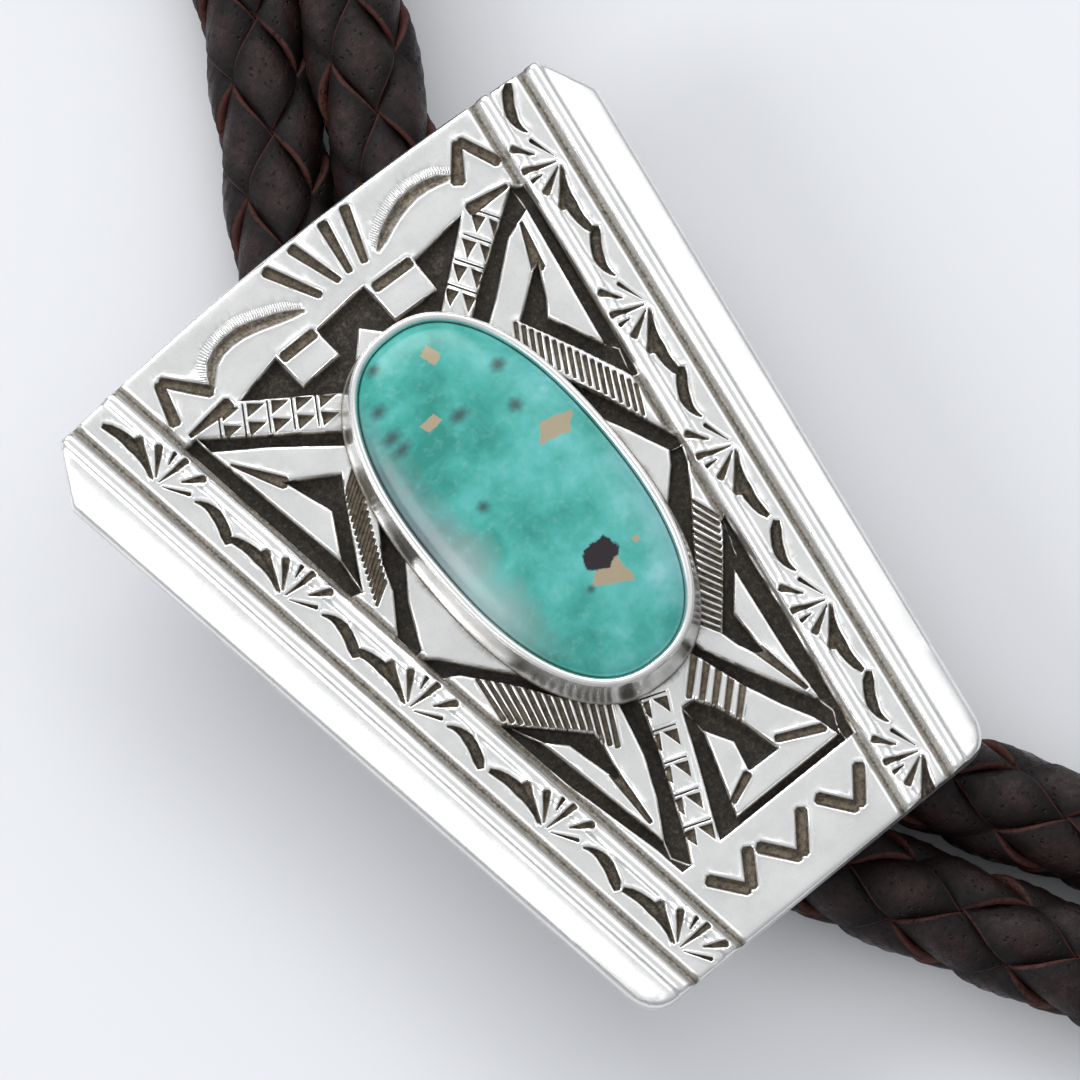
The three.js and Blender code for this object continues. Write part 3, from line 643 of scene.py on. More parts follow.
# %% Fans: turn, start and end in fan reaches, width in chisel widths
fan_rays = [
    (64, 0.1, 1, 1), (36, 0.13, 0.78, 0.7), (9, 0.46, 0.74, 0.4), (-11, 0.08, 0.8, 0.6),
    (-42, 0.5, 1, 0.7), (-64, 0.15, 0.72, 0.35),
]
# Scallops: three places in fan reaches, then the widths there in millimetres
scallops = [
    ([(0.03, 0.14), (0.28, 0.85), (0.17, 1.55)], (0.3, 0.85, 0.6)),
    ([(0.26, -0.78), (0.36, -1.25), (0.08, -1.84)], (0.3, 0.75, 0.75)),
]
fans_along = [0.74, 0.336, -0.06, -0.49, -0.91]
print(2 * len(fans_along), "fans")

# %% Ladders and crescents
# A ladder's marks, then the first and the last one's place
ladders = [
    (5, (-0.76, 0.742), (-0.38, 0.62)), (4, (0.75, 0.73), (0.44, 0.63)),
    (5, (-0.15, -0.43), (-0.565, -0.735)),
]
# A ladder mark is two wedges and a thin line: half width, then places along the bar and across it
ladder_shapes = [
    (0.2, [(-0.15, 0.08), (-0.1, 1.0), (1.0, 0.85)]),
    (0.2, [(-0.1, -1.05), (-0.15, -0.1), (1.0, -0.3)]),
    (0.06, [(-0.4, -1.0), (-0.3, -1.0), (-0.3, 1.0), (-0.4, 1.0)]),
]
crescents = [
    [(-0.72, 0.83), (-0.62, 0.885), (-0.47, 0.9), (-0.3, 0.875), (-0.15, 0.842)],
    [(0.27, 0.842), (0.4, 0.88), (0.55, 0.9), (0.68, 0.89), (0.76, 0.87)],
]
print(len(ladders), "ladders and", len(crescents), "crescents")

# %% [markdown]
# ## Every cut as a small outline
# A struck cut has a flat or narrow floor, sloping sides and a fine raised lip. All of it can be
# worked out from the cut's outline, because how far a point lies inside gives the depth there. So
# every table becomes outlines in one list, each with its depth, the share of it that is slope,
# and its tarnish.

# %% Stamp outlines
stamps = []


def cut_outline(outline, half, depth=stamp_depth, floor=0.6, tarnish=0.84):
    stamps.append({"outline": np.array(outline, float), "half": half, "depth": depth,
                   "floor": floor, "tarnish": tarnish})


# A cut's blunt ends: the share of its half width left there, and how far back the full width starts
end_share = 0.6
end_back = 0.5


def add_stamp(start, end, start_width, end_width, **look):
    """A straight cut with blunt rounded ends."""
    start, end = np.array(start, float), np.array(end, float)
    aim = (end - start) / np.linalg.norm(end - start)
    side = np.array([-aim[1], aim[0]])
    a, b = start_width / 2, end_width / 2
    cut_outline([
        start - side * a * end_share, start - side * a + aim * a * end_back,
        end - side * b - aim * b * end_back, end - side * b * end_share,
        end + side * b * end_share, end + side * b - aim * b * end_back,
        start + side * a + aim * a * end_back, start + side * a * end_share,
    ], (a + b) / 2, **look)


def add_bow(places, widths, **look):
    """A curved cut through three places, as wide as its start, middle and end widths say."""
    shares = np.linspace(0, 1, 9)[:, None]
    first, bend, last = (np.array(place, float) for place in places)
    bend = 2 * bend - (first + last) / 2
    line = (1 - shares) ** 2 * first + 2 * shares * (1 - shares) * bend + shares ** 2 * last
    aim = np.gradient(line, axis=0)
    aim /= np.linalg.norm(aim, axis=1)[:, None]
    side = np.column_stack([-aim[:, 1], aim[:, 0]])
    full = [widths[0] * end_share, *widths, widths[2] * end_share]
    half = np.interp(shares[:, 0], [0, 0.12, 0.5, 0.88, 1], full)[:, None] / 2
    cut_outline(np.vstack([line - side * half, (line + side * half)[::-1]]), max(widths) / 2, **look)


def mixed(first, last, share):
    return tuple(a + (b - a) * share for a, b in zip(first, last))


print("stamp helpers are ready")

# %% Chisel lines and feathers
chisel_spread = 1.4
feather_overrun = 0.28
feather_start = 0.8
feather_depth = 0.16
for start, end, start_width, end_width in chisel_lines:
    add_stamp(spot(*start), spot(*end), start_width * chisel_width * chisel_spread,
              end_width * chisel_width * chisel_spread)
for count, width, from_first, from_last, to_first, to_last in hatched_strips:
    for line in range(count):
        share = line / (count - 1)
        start = spot(*mixed(from_first, from_last, share))
        end = spot(*mixed(to_first, to_last, share))
        add_stamp(mixed(start, end, -feather_overrun), mixed(start, end, 1 + feather_overrun),
                  width * feather_start, width, depth=feather_depth, tarnish=0.7)
print(len(stamps), "cuts with the chisel lines and feathers")

# %% Fans and scallops
ray_start_width = 0.35
ray_end_width = 1.5
for side in (-1, 1):
    for along in fans_along:
        y = along * slide_length / 2
        apex = np.array([side * (half_width(panel_widths, y) + band_width - groove_width), y])
        inward = np.array([-side, (panel_widths[0] - panel_widths[1]) / 2 / slide_length])
        inward /= np.linalg.norm(inward)
        upward = np.array([-inward[1], inward[0]])
        for turn, start, end, wide in fan_rays:
            aim = inward * math.cos(math.radians(turn)) + upward * math.sin(math.radians(turn))
            add_stamp(apex + aim * start * fan_reach, apex + aim * end * fan_reach,
                      ray_start_width * wide * chisel_width, ray_end_width * wide * chisel_width,
                      floor=0.85, tarnish=0.85)
        for places, widths in scallops:
            ends = [apex + (inward * inside + upward * up) * fan_reach for inside, up in places]
            add_bow(ends, widths, tarnish=0.95)
print(len(stamps), "cuts with the fans")

# %% Ladders
ladder_back = 0.4
for count, first, last in ladders:
    climb = np.subtract(spot(*last), spot(*first))
    climb /= np.linalg.norm(climb)
    aside = np.array([-climb[1], climb[0]])
    for mark in range(count):
        middle = np.array(spot(*mixed(first, last, mark / (count - 1)))) - climb * ladder_back
        for half, shape in ladder_shapes:
            cut_outline([middle + climb * along + aside * across for along, across in shape], half)
print(len(stamps), "cuts with the ladders")

# %% Crescents with their fine ticks
tick_spacing = 0.14
crescent_step = 6
crescent_halves = [0.16, 0.38, 0.46, 0.38, 0.16]
tick_start = 0.9
tick_reach = 2.3
for places in crescents:
    line, lengths = smooth_line([(*spot(*place), 0) for place in places], tick_spacing)
    line = line[:, :2]
    aim = np.gradient(line, axis=0)
    aim /= np.linalg.norm(aim, axis=1)[:, None]
    side = np.column_stack([-aim[:, 1], aim[:, 0]])
    half = np.interp(lengths / lengths[-1], [0, 0.15, 0.5, 0.85, 1], crescent_halves)
    thin = line[::crescent_step]
    thin_reach = side[::crescent_step] * half[::crescent_step, None]
    cut_outline(np.vstack([thin - thin_reach, (thin + thin_reach)[::-1]]), 0.42,
                floor=0.8, tarnish=0.62)
    for index in range(2, len(line) - 2):
        reach = half[index] * tick_reach
        add_stamp(line[index] + side[index] * half[index] * tick_start,
                  line[index] + side[index] * reach, 0.08, 0.04, depth=0.05, floor=0.9, tarnish=0.45)
print(len(stamps), "cuts in all")

# %% [markdown]
# ## The stone's oval
# The stone isn't quite an ellipse: like many cut by hand, it is a little fuller at its corners.
# Raising the cosine and the sine to a power below one gives such an oval. The face needs it too,
# for the dark line round the bezel's foot.

# %% Oval
stone_half = (6.25, 12.4)
stone_middle = (0.25, 3.5)
stone_fullness = 2.35
rim_top = slide_face + 3.6


def rounded(value):
    return np.sign(value) * np.abs(value) ** (2 / stone_fullness)


def oval_outline(grow, sides=40):
    angles = np.arange(sides) / sides * 2 * math.pi
    return np.column_stack([
        stone_middle[0] + (stone_half[0] + grow) * rounded(np.cos(angles)),
        stone_middle[1] + (stone_half[1] + grow) * rounded(np.sin(angles)),
    ])


print("stone", 2 * stone_half[0], "by", 2 * stone_half[1], "mm")

# %% [markdown]
# ## A plan of the face
# The face could be a fine even grid, but slanting rims would then turn into saw teeth. Here it is
# cut into triangles along every outline, so each rim stays crisp. Lines a little outside and
# inside each outline leave room for a rounded lip and a sloping side, and plain points fill the
# calm silver between.

# %% Outlines moved in and out
least_cosine = 0.35


def grown(outline, by):
    """The outline moved outward by a distance, corner by corner."""
    points = np.asarray(outline, float)
    before, after = np.roll(points, 1, axis=0), np.roll(points, -1, axis=0)
    area = np.sum(points[:, 0] * after[:, 1] - after[:, 0] * points[:, 1])
    into, out_of = points - before, after - points
    into /= np.linalg.norm(into, axis=1)[:, None]
    out_of /= np.linalg.norm(out_of, axis=1)[:, None]
    facing = np.sign(area)
    first = np.column_stack([into[:, 1], -into[:, 0]]) * facing
    second = np.column_stack([out_of[:, 1], -out_of[:, 0]]) * facing
    middle = first + second
    middle /= np.maximum(np.linalg.norm(middle, axis=1), 1e-6)[:, None]
    stretch = 1 / np.maximum(np.sum(middle * first, axis=1), least_cosine)
    return points + middle * (by * stretch)[:, None]


wider = grown(slide_outline(), 1)
print("grown by 1 mm, the outline is", round(float(np.ptp(wider[:, 1])), 1), "mm long")

# %% The plan and its rim
plan_points, plan_edges = [], []


def plan_line(points, closed=False, spacing=0.8):
    """Adds a line to the plan, cut into short stretches."""
    points = [np.asarray(point, float) for point in points]
    stretches = list(zip(points, points[1:] + (points[:1] if closed else [])))
    first = len(plan_points)
    for start, end in stretches:
        parts = max(1, int(np.linalg.norm(end - start) / spacing))
        plan_points.extend(start + (end - start) * part / parts for part in range(parts))
    if not closed:
        plan_points.append(points[-1])
    last = len(plan_points) - 1
    plan_edges.extend((index, index + 1) for index in range(first, last))
    if closed:
        plan_edges.append((last, first))
    return list(range(first, last + 1))


rim_face = plan_line(slide_outline(), closed=True)
for by in (-0.1, -0.3):
    plan_line(grown(slide_outline(), by), closed=True)
print("plan", len(plan_points), "points with the rim")

# %% The bands' lines
# The band's profile from its inner groove outward: place, height
band_profile = [
    (-0.33, 0), (-0.2, -0.25), (0, -0.35), (0.2, -0.25), (0.33, 0), (0.45, 0.17), (0.6, 0.27),
    (0.83, 0.32), (1.06, 0.26), (1.21, 0.15), (1.33, 0),
]
beside_band = (-0.5, 1.5, 1.8)
lengthwise = np.linspace(-25.2, 25.2, 64)


def plan_lengthwise(side, out):
    """A line beside the panel's slanting side, so far out from it."""
    plan_line([(side * (half_width(panel_widths, y) + out), y) for y in lengthwise], spacing=3)


for side in (-1, 1):
    for line in (0, band_width):
        for place in (*(place for place, _ in band_profile), *beside_band):
            plan_lengthwise(side, line + place)
print("plan", len(plan_points), "points with the bands")

# %% The openings' and the cuts' lines
# How far out each extra line lies; a cut's inner lines are shares of its half width
opening_rings = (0.2, 0.09, 0, -0.07)
cut_rings = (0.2, 0.08, 0)
slope_start, shallow_middle = 0.2, 0.5
recess_outlines = [np.array([spot(*place) for place in outline]) for outline in recesses.values()]
for outline in recess_outlines:
    for by in opening_rings:
        plan_line(grown(outline, by), closed=True)
shallow = 0.06
for stamp in stamps:
    half, floor = stamp["half"], stamp["floor"]
    inner_rings = (-slope_start * half, -floor * half)
    deep = stamp["depth"] > shallow
    for by in (*cut_rings, *inner_rings) if deep else (0, -shallow_middle * half):
        plan_line(grown(stamp["outline"], by), closed=True, spacing=1.2)
print("plan", len(plan_points), "points with the openings and cuts")

# %% The flanges' lines and the calm silver
flange_line = band_width + 2.4
flange_last = 9
flange_spacing = 0.6
grid = 0.5
beads_low, beads_high = -0.7, 2.1
while flange_line < flange_last:
    for side in (-1, 1):
        plan_lengthwise(side, flange_line)
    flange_line += flange_spacing
for y in np.arange(-24.4, 24.6, grid):
    reach = half_width(panel_widths, y)
    for x in np.arange(-reach - band_width, reach + band_width, grid):
        if not any(beads_low < abs(x) - reach - line < beads_high for line in (0, band_width)):
            plan_points.append(np.array([x, y]))
print("plan", len(plan_points), "points,", len(plan_edges), "edges")

# %% [markdown]
# ## Triangles inside the outline
# The plan is cut into triangles that keep every planned line as an edge, which is called a
# constrained Delaunay triangulation. Blender has it in mathutils. A few triangles may still lie
# outside the slide, so only those whose middle is inside the outline are kept.


# %% Depth inside an outline
def inside_by(points, outline):
    """How far each point lies inside a closed outline; outside is negative."""
    nearest = np.full(len(points), np.inf)
    inside = np.zeros(len(points), bool)
    for start, end in zip(outline, np.roll(outline, -1, axis=0)):
        edge = end - start
        share = np.clip((points - start) @ edge / (edge @ edge), 0, 1)
        nearest = np.minimum(nearest, np.linalg.norm(points - start - share[:, None] * edge, axis=1))
        crosses = (start[1] > points[:, 1]) != (end[1] > points[:, 1])
        rise = edge[1] if abs(edge[1]) > 1e-9 else 1e-9
        inside ^= crosses & (points[:, 0] < start[0] + (points[:, 1] - start[1]) * edge[0] / rise)
    return np.where(inside, nearest, -nearest)


slide_rim = np.array(slide_outline())
print("the slide's middle lies", round(float(inside_by(np.zeros((1, 2)), slide_rim)[0]), 1),
      "mm inside its outline")

# %% Triangles of the face
cut = delaunay_2d_cdt(
    [Vector(point) for point in plan_points], plan_edges, [rim_face], 1, 1e-4, False)
all_points = np.array([tuple(point) for point in cut[0]])
all_triangles = np.array([tuple(face) for face in cut[2]])
middles = all_points[all_triangles].mean(axis=1)
kept = all_triangles[inside_by(middles, slide_rim) > 0]
used = np.zeros(len(all_points), bool)
used[kept.ravel()] = True
face_points = all_points[used]
face_triangles = [tuple(face) for face in (np.cumsum(used) - 1)[kept].tolist()]
print("face", len(face_points), "points,", len(face_triangles), "triangles")

# %% [markdown]
# ## The face's height and tarnish
# The relief could be sculpted, but struck and soldered work is regular, and numbers keep it so.
# For every point the height over the plain sheet is worked out: two raised beads in grooves,
# flanges that bend down, the cuts with their lips, and the openings down to the lower sheet. The
# same distances say how dark the tarnish is, which on real silver stays where no polishing cloth
# reaches.

# %% Height of the bands and flanges
band_places, band_heights = np.array(band_profile).T
# Across a band from its inner groove, and how dark it is there
band_stain = np.array([
    (-0.4, 0), (-0.28, 0.25), (-0.1, 0.6), (0.1, 0.6), (0.3, 0.25), (0.42, 0), (1.2, 0), (1.36, 0.2),
    (1.6, 0),
]).T


def bands(points):
    """The height of beads, grooves and flanges, and their tarnish."""
    x, y = np.abs(points[:, 0]), points[:, 1]
    panel = half_width(panel_widths, y)
    edge = half_width(slide_widths, y)
    height, dark = np.zeros(len(points)), np.zeros(len(points))
    for line in (0, band_width):
        across = x - panel - line
        height += np.interp(across, band_places, band_heights, left=0, right=0)
        dark = np.maximum(dark, np.interp(across, *band_stain))
    flange_start = panel + band_width + groove_width / 2 + bead_width
    down_flange = np.clip((x - flange_start) / (edge - flange_start), 0, 1)
    height -= flange_drop * (0.5 * down_flange + 0.5 * down_flange ** 2)
    return height, dark


print("bands raised by up to", band_heights.max(), "mm")

# %% Height of the cuts
near_margin = 0.3
lip_height = 0.05
# Depth inside an outline and the lip's share there
lip_profile = ([-0.2, -0.08, 0], np.array([0, 1, 0.3]))
# Share of the way down a cut's side, and how far its tarnish has come there
cut_stain = ([0.04, 0.3, 0.95, 1.1], [0, 1, 1, 0.88])


def near(points, outline):
    low, high = outline.min(axis=0) - near_margin, outline.max(axis=0) + near_margin
    return np.all((points >= low) & (points <= high), axis=1)


def strike(points, height, dark):
    """Lowers the height inside every cut, raises its lip and darkens its floor."""
    burr, carved = np.zeros(len(points)), np.zeros(len(points))
    for stamp in stamps:
        pick = near(points, stamp["outline"])
        if not pick.any():
            continue
        depth = inside_by(points[pick], stamp["outline"])
        share = depth / (stamp["floor"] * stamp["half"])
        carved[pick] = np.maximum(carved[pick], stamp["depth"] * np.clip(share, 0, 1))
        lip = lip_height if stamp["depth"] > shallow else 0
        burr[pick] = np.maximum(burr[pick], np.interp(depth, lip_profile[0], lip_profile[1] * lip))
        stain = np.interp(share, *cut_stain) * stamp["tarnish"]
        dark[pick] = np.maximum(dark[pick], stain)
    height += np.where(carved > 0, -carved, burr)


print("cuts go down by up to", max(stamp["depth"] for stamp in stamps), "mm")

# %% Height of the openings
# Depth inside an opening's rim and the level there: a softened rim, then the lower sheet
opening_level = np.array([(-0.2, 0), (-0.09, -0.012), (0, -0.07), (0.07, -overlay_sheet)]).T
# Depth inside the rim and the tarnish there; far inside it is a little worn
opening_stain = ([0, 0.045, 0.4, 1.2], [0, 1, 0.99])
step_wear, plain_wear = 0.88, 0.95


def pierce(points, height, dark):
    """Lowers the height inside every opening and darkens it."""
    for title, outline in zip(recesses, recess_outlines):
        pick = near(points, outline)
        depth = inside_by(points[pick], outline)
        level = np.interp(depth, *opening_level)
        height[pick] = np.where(depth > 0, np.minimum(height[pick], level), height[pick] + level)
        calm = step_wear if title.startswith("step") else plain_wear
        stain = np.interp(depth, opening_stain[0], [*opening_stain[1], calm])
        dark[pick] = np.where(depth > 0, stain, dark[pick])


print("openings go down by", overlay_sheet, "mm")

# %% The whole relief
foot_grow = 1.08
foot_stain = ([-0.22, -0.02, 0.1], [0, 0.4, 0.6])
height, dark = bands(face_points)
strike(face_points, height, dark)
pierce(face_points, height, dark)
foot = inside_by(face_points, oval_outline(foot_grow))
dark = np.maximum(dark, np.interp(foot, *foot_stain))
print("relief from", round(height.min(), 2), "to", round(height.max(), 2), "mm")

# %% [markdown]
# ## A handmade unevenness
# Sheet silver that was struck and soldered is never quite flat, and its reflections show it. A
# Displace modifier with a cloud texture could do this, but it would move the deep parts as much.
# So two soft noises are added to the heights, more on the open silver, and the outer rim is
# rounded off.

# %% Waves and the rounded rim
wave_calm, wave_open = 0.015, 0.02
slow_wave, slow_layer = 0.16, 3.1
quick_wave, quick_share, quick_layer = 0.5, 0.4, 7.7
rim_rounding = ([0, 0.1, 0.3], [-0.17, -0.05, 0])
inward = inside_by(face_points, slide_rim)
height += np.interp(inward, *rim_rounding)
waves = np.array([
    noise.noise(Vector((px * slow_wave, py * slow_wave, slow_layer)))
    + quick_share * noise.noise(Vector((px, py, quick_layer)) * quick_wave)
    for px, py in face_points])
open_face = np.clip(1 - np.abs(height) * 3, 0, 1)
height += waves * (wave_calm + wave_open * open_face)
print("face height from", round(height.min(), 2), "to", round(height.max(), 2))

# %% [markdown]
# ## Closing the slide
# Seen from the side, the slide shows the seam between its two soldered sheets, and a flat back
# that bends with the flanges. Solidify would copy the whole relief to the back. So the face's
# open rim is carried down in rows, one of them drawn in for the seam, and the last row is closed
# with flat triangles.


# %% The open rim
def rim_loop(triangles):
    """The corners round the open rim, in order."""
    edges = {}
    for triangle in triangles:
        for start, end in zip(triangle, triangle[1:] + triangle[:1]):
            edges[(start, end)] = True
    onward = {start: end for start, end in edges if (end, start) not in edges}
    loop = [next(iter(onward))]
    while onward[loop[-1]] != loop[0]:
        loop.append(onward[loop[-1]])
    return loop


rim = rim_loop(face_triangles)
rim_points = face_points[rim]
rim_heights = slide_face + height[rim]
print("rim of", len(rim), "corners")

# %% Rows down to the back
# Share of the way down, how far in, and tarnish, for the rows of the rim
rim_rows = [
    (0.3, 0, 0.05), (0.46, 0, 0.2), (0.5, 0.07, 0.9), (0.54, 0, 0.25), (0.92, 0, 0.1), (1, 0.1, 0.2),
]
band_edge = half_width(panel_widths, rim_points[:, 1])
edge_back = slide_back - np.clip(
    (np.abs(rim_points[:, 0]) - band_edge - band_width)
    / (half_width(slide_widths, rim_points[:, 1]) - band_edge - band_width), 0, 1) * flange_drop / 2
corners = [(px, py, slide_face + h) for (px, py), h in zip(face_points, height)]
faces = list(face_triangles)
shade = list(dark)
previous = rim
pulled = -grown(rim_points, 1) + rim_points
for down_share, pull, tarnish in rim_rows:
    first = len(corners)
    for index, (px, py) in enumerate(rim_points):
        z = rim_heights[index] + (edge_back[index] - rim_heights[index]) * down_share
        corners.append((px + pulled[index][0] * pull, py + pulled[index][1] * pull, z))
        shade.append(tarnish)
    row = list(range(first, first + len(rim)))
    for index in range(len(rim)):
        beside = (index + 1) % len(rim)
        faces.append((previous[index], row[index], row[beside], previous[beside]))
    previous = row
print(len(rim_rows), "rows of the rim, the back's lowest at", round(float(edge_back.min()), 2), "mm")

# %% The flat back
back = delaunay_2d_cdt(
    [Vector(corners[index][:2]) for index in previous],
    [], [list(range(len(previous)))], 1, 1e-6, True)
for face in back[2]:
    source = [previous[back[3][corner][0]] for corner in face]
    faces.append(tuple(reversed(source)))
slide = mesh_piece("silver_slide", corners, faces)
paint(slide, "dark", shade)
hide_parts("slide_plate")
print("slide", len(corners), "corners,", len(faces), "faces")

# %% [markdown]
# ## The bezel
# A bezel is a thin strip of silver, bent to the stone's outline, soldered on the face and rubbed
# over the stone's edge. It could be a curve with a flat section, but its wall flares at the foot
# and rounds over at the rim. So an oval is drawn out through the wall's profile, and its first
# and last rings are bridged.

# %% Bezel
oval_sides = 160
# Grow beyond the stone, height above the slide's face, tarnish
bezel_rows = [
    (0.02, 0.4, 1), (0.02, 3.25, 0.35), (0.08, 3.44, 0), (0.18, 3.56, 0), (0.33, 3.6, 0),
    (0.48, 3.57, 0), (0.58, 3.44, 0), (0.61, 3.15, 0), (0.64, 2.2, 0), (0.7, 1.2, 0),
    (0.8, 0.55, 0), (0.94, 0.2, 0.15), (1.03, 0.06, 0.5), (1.08, -0.02, 0.85), (1, -1, 1),
    (0.02, -1, 1),
]
wall_rows = [
    (stone_half[0] + grow, stone_half[1] + grow, slide_face + up) for grow, up, _ in bezel_rows]
bezel = drawn_out("bezel", (*stone_middle, 0), wall_rows, filled=False, sides=oval_sides)

# %% Tarnish on the bezel
# Each corner takes the tarnish of the row whose oval and height fit it best
across = np.array([tuple(corner.co) for corner in bezel.data.vertices]) / MM - (*stone_middle, 0)
misfit = [
    np.abs(np.hypot(across[:, 0] / wide, across[:, 1] / long) - 1) * wide + np.abs(across[:, 2] - up)
    for wide, long, up in wall_rows]
bezel_dark = np.array([row[2] for row in bezel_rows])[np.argmin(misfit, axis=0)]
paint(bezel, "dark", bezel_dark)
print(int((bezel_dark > 0.5).sum()), "of the bezel's corners are tarnished")


# %% Fuller ovals
def fill_out(piece):
    """Moves an ellipse's corners outward to the stone's slightly fuller oval."""
    for corner in piece.data.vertices:
        x, y = corner.co.x / MM - stone_middle[0], corner.co.y / MM - stone_middle[1]
        reach = math.hypot(x / stone_half[0], y / stone_half[1])
        for axis, place, half in ((0, x, stone_half[0]), (1, y, stone_half[1])):
            share = max(abs(place / half / reach), 1e-6)
            corner.co[axis] = (stone_middle[axis] + place * share ** (2 / stone_fullness - 1)) * MM
    piece.data.update()


fill_out(bezel)
print("bezel filled out to fullness", stone_fullness)

# %% [markdown]
# ## The stone
# A cabochon is a stone with a flat back and a polished dome, held by the bezel just under its
# rim. A squashed sphere would be too pointed at the edge. So the oval is drawn out through a
# short girdle and a low dome whose rows grow closer toward the edge, where the curve is tightest.

# %% Stone
girdle = rim_top - 0.43
crown = rim_top + 1.3
dome_power = 2.2
stone_rows = [(stone_half[0] + grow, stone_half[1] + grow, up) for grow, up in (
    (-0.3, slide_face + 0.3), (0.01, slide_face + 0.6), (0.01, girdle))]
for share in (0.992, 0.975, 0.95, 0.92, 0.88, 0.83, 0.77, 0.7, 0.62, 0.53, 0.43, 0.32, 0.2, 0.08):
    dome = girdle + (crown - girdle) * (1 - share ** dome_power) ** 0.5
    stone_rows.append((stone_half[0] * share, stone_half[1] * share, dome))
stone = drawn_out("turquoise_cabochon", (*stone_middle, 0), stone_rows, sides=oval_sides)
fill_out(stone)
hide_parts("turquoise_stone")
print("stone from", stone_rows[0][2], "to", round(crown, 2))

# %% [markdown]
# ## Materials
# Each material is a Principled shader whose colour, roughness and bump come from a node group of
# its own. The nodes could be placed by hand in the shader editor. In a script a few short helpers
# keep each finish readable, as one list of what is mixed with what. All patterns read Object
# coordinates in millimetres.


# %% Node helpers
class Nodes:
    """Short names for making and linking nodes in a tree."""

    def __init__(self, tree):
        self.tree = tree

    def add(self, kind, settings=None, **inputs):
        node = self.tree.nodes.new("ShaderNode" + kind)
        for key, value in (settings or {}).items():
            setattr(node, key, value)
        for key, value in inputs.items():
            self.feed(node, key, value)
        return node

    def feed(self, node, key, value):
        socket = node.inputs[int(key[1:])] if key[0] == "i" and key[1:].isdigit() else node.inputs[
            key.replace("_", " ")]
        if isinstance(value, bpy.types.NodeSocket):
            self.tree.links.new(value, socket)
        else:
            socket.default_value = value

    def sum(self, kind, first, second):
        return self.add("Math", {"operation": kind}, i0=first, i1=second).outputs[0]

    def mix(self, share, first, second):
        node = self.add("Mix", {"data_type": "RGBA"})
        self.feed(node, "i0", share)
        self.feed(node, "i6", first)
        self.feed(node, "i7", second)
        return node.outputs[2]

    def ramp(self, value, stops):
        node = self.add("ValToRGB", Fac=value)
        ramp = node.color_ramp
        ramp.elements[0].position, ramp.elements[0].color = stops[0][0], (*stops[0][1], 1)
        ramp.elements[1].position, ramp.elements[1].color = stops[-1][0], (*stops[-1][1], 1)
        for place, colour in stops[1:-1]:
            ramp.elements.new(place).color = (*colour, 1)
        return node.outputs[0]

    def range(self, value, low, high, to_low=0.0, to_high=1.0):
        node = self.add("MapRange", i0=value, i1=low, i2=high, i3=to_low, i4=to_high)
        return node.outputs[0]

    def millimetres(self, stretch=(1, 1, 1), turn=0.0):
        place = self.add("TexCoord").outputs["Object"]
        scale = tuple(1000 * value for value in stretch)
        return self.add("Mapping", Vector=place, Scale=scale, Rotation=(0, 0, turn)).outputs[0]

    def noise(self, place, scale, detail=3.0, rough=0.5, bend=0.0):
        return self.add("TexNoise", Vector=place, Scale=scale, Detail=detail, Roughness=rough,
                        Distortion=bend).outputs[0]


print("node helpers are ready")


# %% Groups and materials
def group(name, build, inputs=(), outputs=("Colour", "Roughness", "Metallic", "Height")):
    """A node group whose build function returns its outputs by name."""
    tree = bpy.data.node_groups.new(name, "ShaderNodeTree")
    for title in inputs:
        tree.interface.new_socket(title, in_out="INPUT", socket_type="NodeSocketFloat")
    for title in outputs:
        kind = "NodeSocketColor" if title == "Colour" else "NodeSocketFloat"
        tree.interface.new_socket(title, in_out="OUTPUT", socket_type=kind)
    nodes = Nodes(tree)
    inside = tree.nodes.new("NodeGroupInput")
    outside = tree.nodes.new("NodeGroupOutput")
    for title, value in build(nodes, inside.outputs).items():
        tree.links.new(value, outside.inputs[title])
    return tree


def material(name, tree, attributes=(), bump=0.0, distance=0.0001, **plain):
    """A Principled material fed by a group, with plain numbers set on its own sockets."""
    made = bpy.data.materials.new(name)
    made.use_nodes = True
    nodes = Nodes(made.node_tree)
    shader = made.node_tree.nodes["Principled BSDF"]
    look = made.node_tree.nodes.new("ShaderNodeGroup")
    look.node_tree = tree
    for index, title in enumerate(attributes):
        painted = nodes.add("Attribute", {"attribute_name": title})
        nodes.feed(look, f"i{index}", painted.outputs["Fac"])
    links = made.node_tree.links
    links.new(look.outputs["Colour"], shader.inputs["Base Color"])
    for title in ("Roughness", "Metallic"):
        if title in look.outputs:
            links.new(look.outputs[title], shader.inputs[title])
    if bump:
        relief = nodes.add("Bump", Strength=bump, Distance=distance, Height=look.outputs["Height"])
        links.new(relief.outputs[0], shader.inputs["Normal"])
    for title, value in plain.items():
        shader.inputs[title.replace("_", " ")].default_value = value
    return made


print("material helpers are ready")

# %% [markdown]
# ## Silver
# Polished silver is bright, with fine scratches that run mostly one way. In grooves and openings
# it turns brown and then nearly black, and less shiny. Pointiness or ambient occlusion could find
# such places, but they can't be tuned cut by cut. So the painted number says how dark each place
# is, and noise frays its edge.


# %% Silver
dull_silver, bright_silver = (0.86, 0.86, 0.85, 1), (0.96, 0.955, 0.94, 1)
brown_stain = [(0.35, (0.065, 0.051, 0.036)), (0.65, (0.22, 0.182, 0.13))]
black_oxide = [(0.35, (0.01, 0.008, 0.006)), (0.7, (0.045, 0.037, 0.026))]


